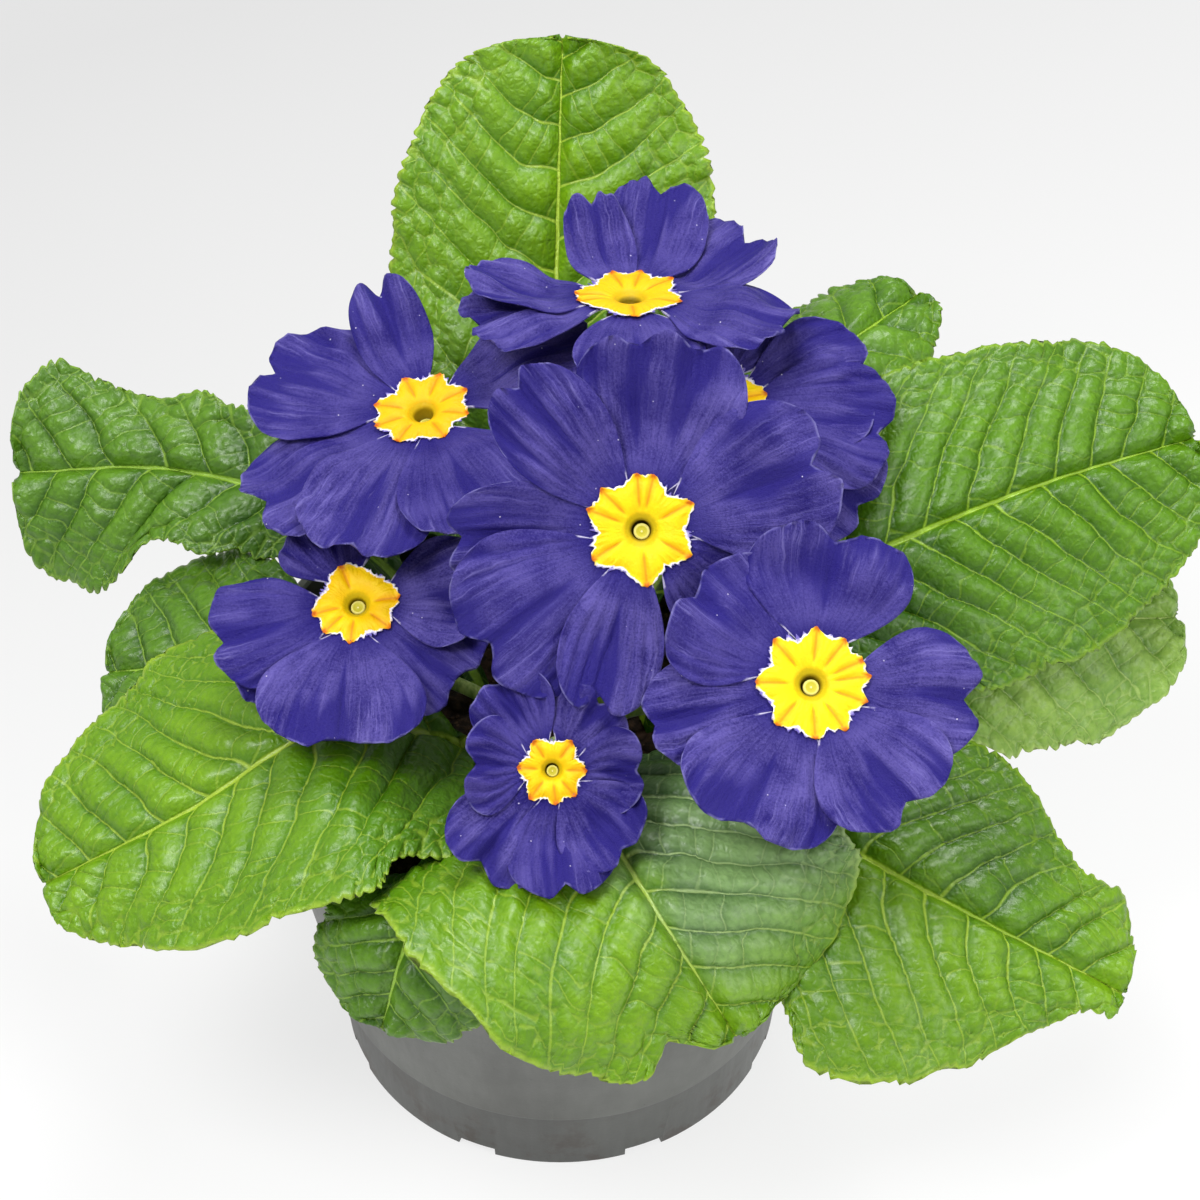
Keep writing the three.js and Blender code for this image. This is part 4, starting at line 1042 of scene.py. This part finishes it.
def build_star(name, bloom, look, seed):
    angle, yellow, fringe, off = star_outline(bloom, seed)
    eye = bloom["eye"]
    throat = min(2.8, 3.1 * eye)
    lip = cone_height(throat)
    outer = yellow + fringe
    groove = bell(off * yellow / 0.8)
    rings = [
        ring(angle, TUBE_RADIUS, -TUBE_LENGTH),
        ring(angle, TUBE_RADIUS, -4),
        ring(angle, throat + 0.35, lip + 0.05),
        ring(angle, outer * 0.9, cone_height(outer * 0.9) + 0.2),
        ring(angle, outer, cone_height(outer) + 0.3),
    ]
    for share in np.linspace(0.99, 0.06, 20):
        radius = mix(throat, outer, share)
        crest = STAR_CREST * math.sin(math.pi * min(1, share * 1.2)) ** 0.7
        dip = STAR_GROOVE * groove * math.sin(math.pi * clip((share - 0.05) / 0.95)) ** 0.6
        rings.append(ring(angle, radius, cone_height(radius) + STAR_LIFT + crest - dip))
    funnel = ((1, 0), (0.9, 0.25), (0.8, 0.5), (0.7, 0.75), (0.6, 1.05), (0.56, 1.4), (0.5, THROAT_DEPTH))
    rings += [ring(angle, throat * share, lip + THROAT_LIP - depth) for share, depth in funnel]
    solid = loft(rings)
    points = solid[0]
    radius = np.hypot(points[:, 0], points[:, 1])
    step = np.arange(len(points)) % STAR_STEPS
    out = np.where(points[:, 2] < -THROAT_DEPTH, 1.0, radius / eye)
    values = {
        "star": join(radius - yellow[step], off[step] * radius, out),
        "tone": np.full(points.shape, bloom.get("warm", 0.0)),
    }
    piece(f"{name}_eye", in_plant(solid, bloom), look, f"{name}_star", values)


def build_pistil(name, bloom, look):
    """The stigma, a disc with a raised ring, on its style."""
    size = min(1, bloom["eye"] * 1.15) * STIGMA_RADIUS
    lean = size * np.array([0.08, -0.16, 0])
    profile = [
        (STYLE_RADIUS, -THROAT_DEPTH + 0.5), (STYLE_RADIUS, -STIGMA_RADIUS), (size * 0.75, -0.5),
        (size, -0.1), (size * 1.02, 0.2), (size * 0.95, 0.42), (size * 0.8, 0.5), (size * 0.62, 0.42),
        (size * 0.4, 0.34), (size * 0.2, 0.36), (size * 0.08, 0.42),
    ]
    rings = []
    for number, (radius, height) in enumerate(profile):
        height -= min(height + THROAT_DEPTH - 0.5, bloom.get("sink", STIGMA_SINK))
        rings.append(lean * min(1, number / 2) + ring(around(PISTIL_SIDES), radius, height))
    solid = loft(rings)
    x, y, _ = (solid[0] - lean).T
    values = {"star": join(np.hypot(x, y) / size, 0, 0)}
    piece(f"{name}_stigma", in_plant(solid, bloom), look, f"{name}_pistil", values)


def stem_rings(bloom, facing, base):
    """Circles up the stem, which rises from the soil and bends into the bloom's back."""
    middle = np.array(bloom["at"], float)
    foot = np.array([*bloom["foot"], STEM_FOOT], float)
    upright = np.array([0.0, 0.0, 1.0])
    bend = [
        foot + upright * (STEM_BEND - STEM_FOOT),
        foot + upright * (mix(STEM_BEND, middle[2] - base, 0.6) - STEM_FOOT),
        middle - facing * (base + 8),
        middle - facing * base,
    ]
    places = [(foot, upright)]
    for s in np.linspace(0, 1, 25):
        weights = [(1 - s) ** 3, 3 * s * (1 - s) ** 2, 3 * s * s * (1 - s), s**3]
        steps = [3 * (1 - s) ** 2, 6 * s * (1 - s), 3 * s * s]
        heading = unit(sum(w * (q - p) for w, p, q in zip(steps, bend, bend[1:])))
        places.append((sum(w * p for w, p in zip(weights, bend)), heading))
    rings = []
    for place, heading in places:
        across = unit(np.cross(np.array([0.0, 1.0, 0.0]), heading))
        flat = ring(around(STEM_SIDES), STEM_RADIUS, 0)
        rings.append(place + flat @ np.stack([across, np.cross(heading, across), heading]))
    return rings


def build_stem(name, bloom, look):
    """The stem out of the soil and the hollow, ribbed and toothed calyx at its end, in one piece."""
    axes = bloom_frame(bloom)
    base = CALYX_DROP + CALYX_LENGTH
    rim = CALYX_DROP + CALYX_TOOTH
    # the calyx's radius and depth under the star, and how much of its teeth shows there
    profile = [
        (STEM_RADIUS * 1.4, base - 0.6, 0), (CALYX_BASE_RADIUS + 0.8, base - 3, 0),
        (CALYX_BASE_RADIUS + 1.5, base - 6, 0.15), (CALYX_TOP_RADIUS, rim + 2, 0.6),
        (CALYX_TOP_RADIUS, rim, 1), (CALYX_TOP_RADIUS - 0.3, rim, 1.05),
        (CALYX_TOP_RADIUS - CALYX_WALL, rim + 1, 0.9), (CALYX_BASE_RADIUS, TUBE_LENGTH + 0.3, 0),
    ]
    angle = around(STEM_SIDES)
    ribs = np.cos(5 * angle)
    tooth = CALYX_TOOTH * (0.5 + 0.5 * ribs) ** 1.3
    rings = stem_rings(bloom, axes[2], base)
    for radius, depth, toothed in profile:
        calyx = ring(angle, radius * (1 + 0.07 * ribs), tooth * toothed - depth)
        rings.append(np.array(bloom["at"], float) + calyx @ axes)
    piece(f"{name}_stalk", loft(rings), look, f"{name}_stem")


# ---- Soil and pot


def soil_height(x, y):
    heaps = 0.8 * np.sin(0.31 * x + 1.3) * np.cos(0.27 * y - 0.6) + 0.5 * np.sin(0.7 * x - 0.5 * y)
    return SOIL_TOP + heaps + 0.5 * bumps(x / 2.3, y / 2.3, 71) + 0.35 * bumps(x / 0.9, y / 0.9, 72)


def crumbs(radius):
    """Small lumps strewn over the soil, squashed and uneven, with six sides."""
    rng = np.random.default_rng(73)
    turn = around(CRUMB_SIDES)
    lumps = []
    for _ in range(CRUMBS):
        distance = radius * math.sqrt(rng.uniform(0.02, 1))
        angle = rng.uniform(0, 2 * math.pi)
        x, y = distance * math.cos(angle), distance * math.sin(angle)
        size = 0.5 + 1.1 * rng.uniform() ** 2.5
        stretch = rng.uniform(0.6, 1.5, 2)
        spin = rng.uniform(0, 2 * math.pi)
        wobble = rng.uniform(0.75, 1.2, (2, CRUMB_SIDES))
        z = soil_height(x, y) + 0.25 * size
        rings = []
        for uneven, level, taper in zip(wobble, (-0.35, 0.35), (1, 0.85)):
            flat = size * uneven * taper
            px, py = flat * np.cos(turn) * stretch[0], flat * np.sin(turn) * stretch[1]
            px, py = px * math.cos(spin) - py * math.sin(spin), px * math.sin(spin) + py * math.cos(spin)
            rings.append(join(x + px, y + py, z + level * size))
        points, sides, ends = loft(rings)
        points[-1, 2] += 0.3 * size
        lumps.append((points, sides, ends))
    return lumps


def build_soil(look):
    angle = around(SOIL_SIDES)
    inset = WALL + SOIL_GAP + 0.2
    top_radius = COLLAR_FOOT_RADIUS - 0.3 - inset
    rings = [
        ring(angle, LEDGE_RADIUS - 0.6 - inset, FLOOR_UNDERSIDE + FLOOR + SOIL_GAP),
        ring(angle, LEDGE_RADIUS - inset, LEDGE_HEIGHT),
        ring(angle, top_radius, COLLAR_HEIGHT - 1),
    ]
    for radius in np.linspace(top_radius, 0.6, SOIL_RINGS):
        x, y, _ = ring(angle, radius, 0).T
        rings.append(join(x, y, soil_height(x, y)))
    piece("soil_bed", merge([loft(rings), *crumbs(top_radius - 1.5)]), look, "soil")


def pot_profile():
    floor_top = FLOOR_UNDERSIDE + FLOOR
    ring_inside = FOOT_RADIUS - FOOT_RING
    return [
        (0.01, 0), (HUB_RADIUS - 0.3, 0), (HUB_RADIUS, 0.3), (HUB_RADIUS, FLOOR_UNDERSIDE),
        (ring_inside, FLOOR_UNDERSIDE), (ring_inside, 0.2), (ring_inside + 0.2, 0), (FOOT_RADIUS - 0.3, 0),
        (FOOT_RADIUS, 0.4), (LEDGE_RADIUS, LEDGE_HEIGHT - 0.3), (LEDGE_RADIUS + 0.15, LEDGE_HEIGHT),
        (LEDGE_RADIUS + 0.7, LEDGE_HEIGHT + 0.5), (LEDGE_RADIUS + 0.85, LEDGE_HEIGHT + 1.1),
        (COLLAR_FOOT_RADIUS, COLLAR_HEIGHT - 0.4), (COLLAR_FOOT_RADIUS + 0.4, COLLAR_HEIGHT),
        (RIM_RADIUS - 1.1, COLLAR_HEIGHT + 0.6), (RIM_RADIUS - 0.8, COLLAR_HEIGHT + 1.1),
        (RIM_RADIUS, RIM_HEIGHT - 1), (RIM_RADIUS - 0.15, RIM_HEIGHT - 0.35), (RIM_RADIUS - 0.6, RIM_HEIGHT),
        (RIM_RADIUS - 1.5, RIM_HEIGHT), (RIM_RADIUS - 2, RIM_HEIGHT - 0.4),
        (RIM_RADIUS - 2.3, COLLAR_HEIGHT + 2), (COLLAR_FOOT_RADIUS - WALL, COLLAR_HEIGHT),
        (LEDGE_RADIUS - WALL, LEDGE_HEIGHT), (LEDGE_RADIUS - WALL - 0.6, floor_top), (0.01, floor_top),
    ]


def prism(outline, low, high):
    return loft([join(*outline.T, height) for height in (low, high)])


def pot_cutters():
    """The water channels under the foot and the drain holes, as one mesh of boxes and prisms."""
    blocks = []
    outer = FOOT_RADIUS + 5
    half = CHANNEL_WIDTH / 2
    corners = np.array([[HUB_RADIUS, -half], [outer, -half], [outer, half], [HUB_RADIUS, half]])
    for k in range(CHANNELS):
        angle = (k + 0.5) * 2 * math.pi / CHANNELS
        turn = np.array([[math.cos(angle), math.sin(angle)], [-math.sin(angle), math.cos(angle)]])
        blocks.append(prism(corners @ turn, -CHANNEL_HEIGHT, CHANNEL_HEIGHT))
    hole = ring(around(DRAIN_SIDES), DRAIN_RADIUS, 0)[:, :2]
    for k in range(DRAIN_HOLES):
        angle = (k + 0.5) * 2 * math.pi / DRAIN_HOLES
        blocks.append(prism(DRAIN_CIRCLE * np.array([math.cos(angle), math.sin(angle)]) + hole, -10, 10))
    points, quads, caps = merge(blocks)
    mesh = bpy.data.meshes.new("pot_cutters")
    mesh.from_pydata((points * MM).tolist(), [], quads.tolist() + caps.tolist())
    return add_object("pot_cutters", mesh)


def build_pot(look):
    solid = loft([ring(around(POT_SIDES), radius, height) for radius, height in pot_profile()])
    pot = piece("pot_shell", solid, look, "pot")
    cutter = pot_cutters()
    cut = pot.modifiers.new("cut", "BOOLEAN")
    cut.operation = "DIFFERENCE"
    cut.solver = "EXACT"
    cut.object = cutter
    bpy.context.view_layer.objects.active = pot
    bpy.ops.object.modifier_apply(modifier="cut")
    bpy.data.objects.remove(cutter)
    pot.data.shade_smooth()
    sharp = pot.modifiers.new("sharp", "EDGE_SPLIT")
    sharp.split_angle = math.radians(35)
    bpy.ops.object.modifier_apply(modifier="sharp")


# ---- Camera, light and floor

CAMERA_PLACE = (0.007, -0.5688, 0.7367)
CAMERA_TILT = 42.0  # degrees up from straight down
CAMERA_LENS = 154.6
SENSOR = 36.0


def build_camera():
    data = bpy.data.cameras.new("camera")
    data.lens = CAMERA_LENS
    data.sensor_width = SENSOR
    data.clip_start = 0.01
    camera = add_object("camera", data)
    camera.location = CAMERA_PLACE
    camera.rotation_euler = (math.radians(CAMERA_TILT), 0, 0)
    bpy.context.scene.camera = camera


def area_light(name, place, target, size, power):
    data = bpy.data.lights.new(name, "AREA")
    data.shape = "DISK"
    data.size = size
    data.energy = power
    light = add_object(name, data)
    light.location = place
    light.rotation_euler = (Vector(target) - Vector(place)).to_track_quat("-Z", "Y").to_euler()


def build_light():
    target = (0.0, 0.0, 0.1)
    area_light("key", (-0.5, -0.35, 1.25), target, 0.5, 11.0)
    area_light("fill", (0.9, -0.5, 0.9), target, 0.7, 5.0)
    area_light("top", (0.1, 0.6, 1.3), target, 0.5, 10.0)
    world = bpy.data.worlds.new("studio")
    world.use_nodes = True
    background = world.node_tree.nodes["Background"]
    background.inputs["Color"].default_value = (1.0, 1.0, 1.0, 1.0)
    background.inputs["Strength"].default_value = 0.5
    bpy.context.scene.world = world


def build_floor():
    bpy.ops.mesh.primitive_plane_add(size=8.0)
    floor = bpy.context.object
    floor.name = "floor"
    floor.data.materials.append(floor_look())


# ---- The whole plant

bpy.context.scene.view_settings.view_transform = "Standard"
build_camera()
build_light()
build_floor()
build_pot(pot_look())
build_soil(soil_look())
leaf_looks = {}
for number, (name, leaf) in enumerate(LEAVES.items()):
    shades = leaf["look"]
    if shades not in leaf_looks:
        leaf_looks[shades] = leaf_look(*shades)
    build_leaf(name, leaf, leaf_looks[shades], 100 + 10 * number)
petal, star, stigma, stem = petal_look(), star_look(), stigma_look(), stem_look()
for number, (name, bloom) in enumerate(BLOOMS.items()):
    build_petals(name, bloom, petal, 500 + 100 * number)
    build_star(name, bloom, star, 550 + 100 * number)
    build_pistil(name, bloom, stigma)
    build_stem(name, bloom, stem)

bpy.context.view_layer.update()
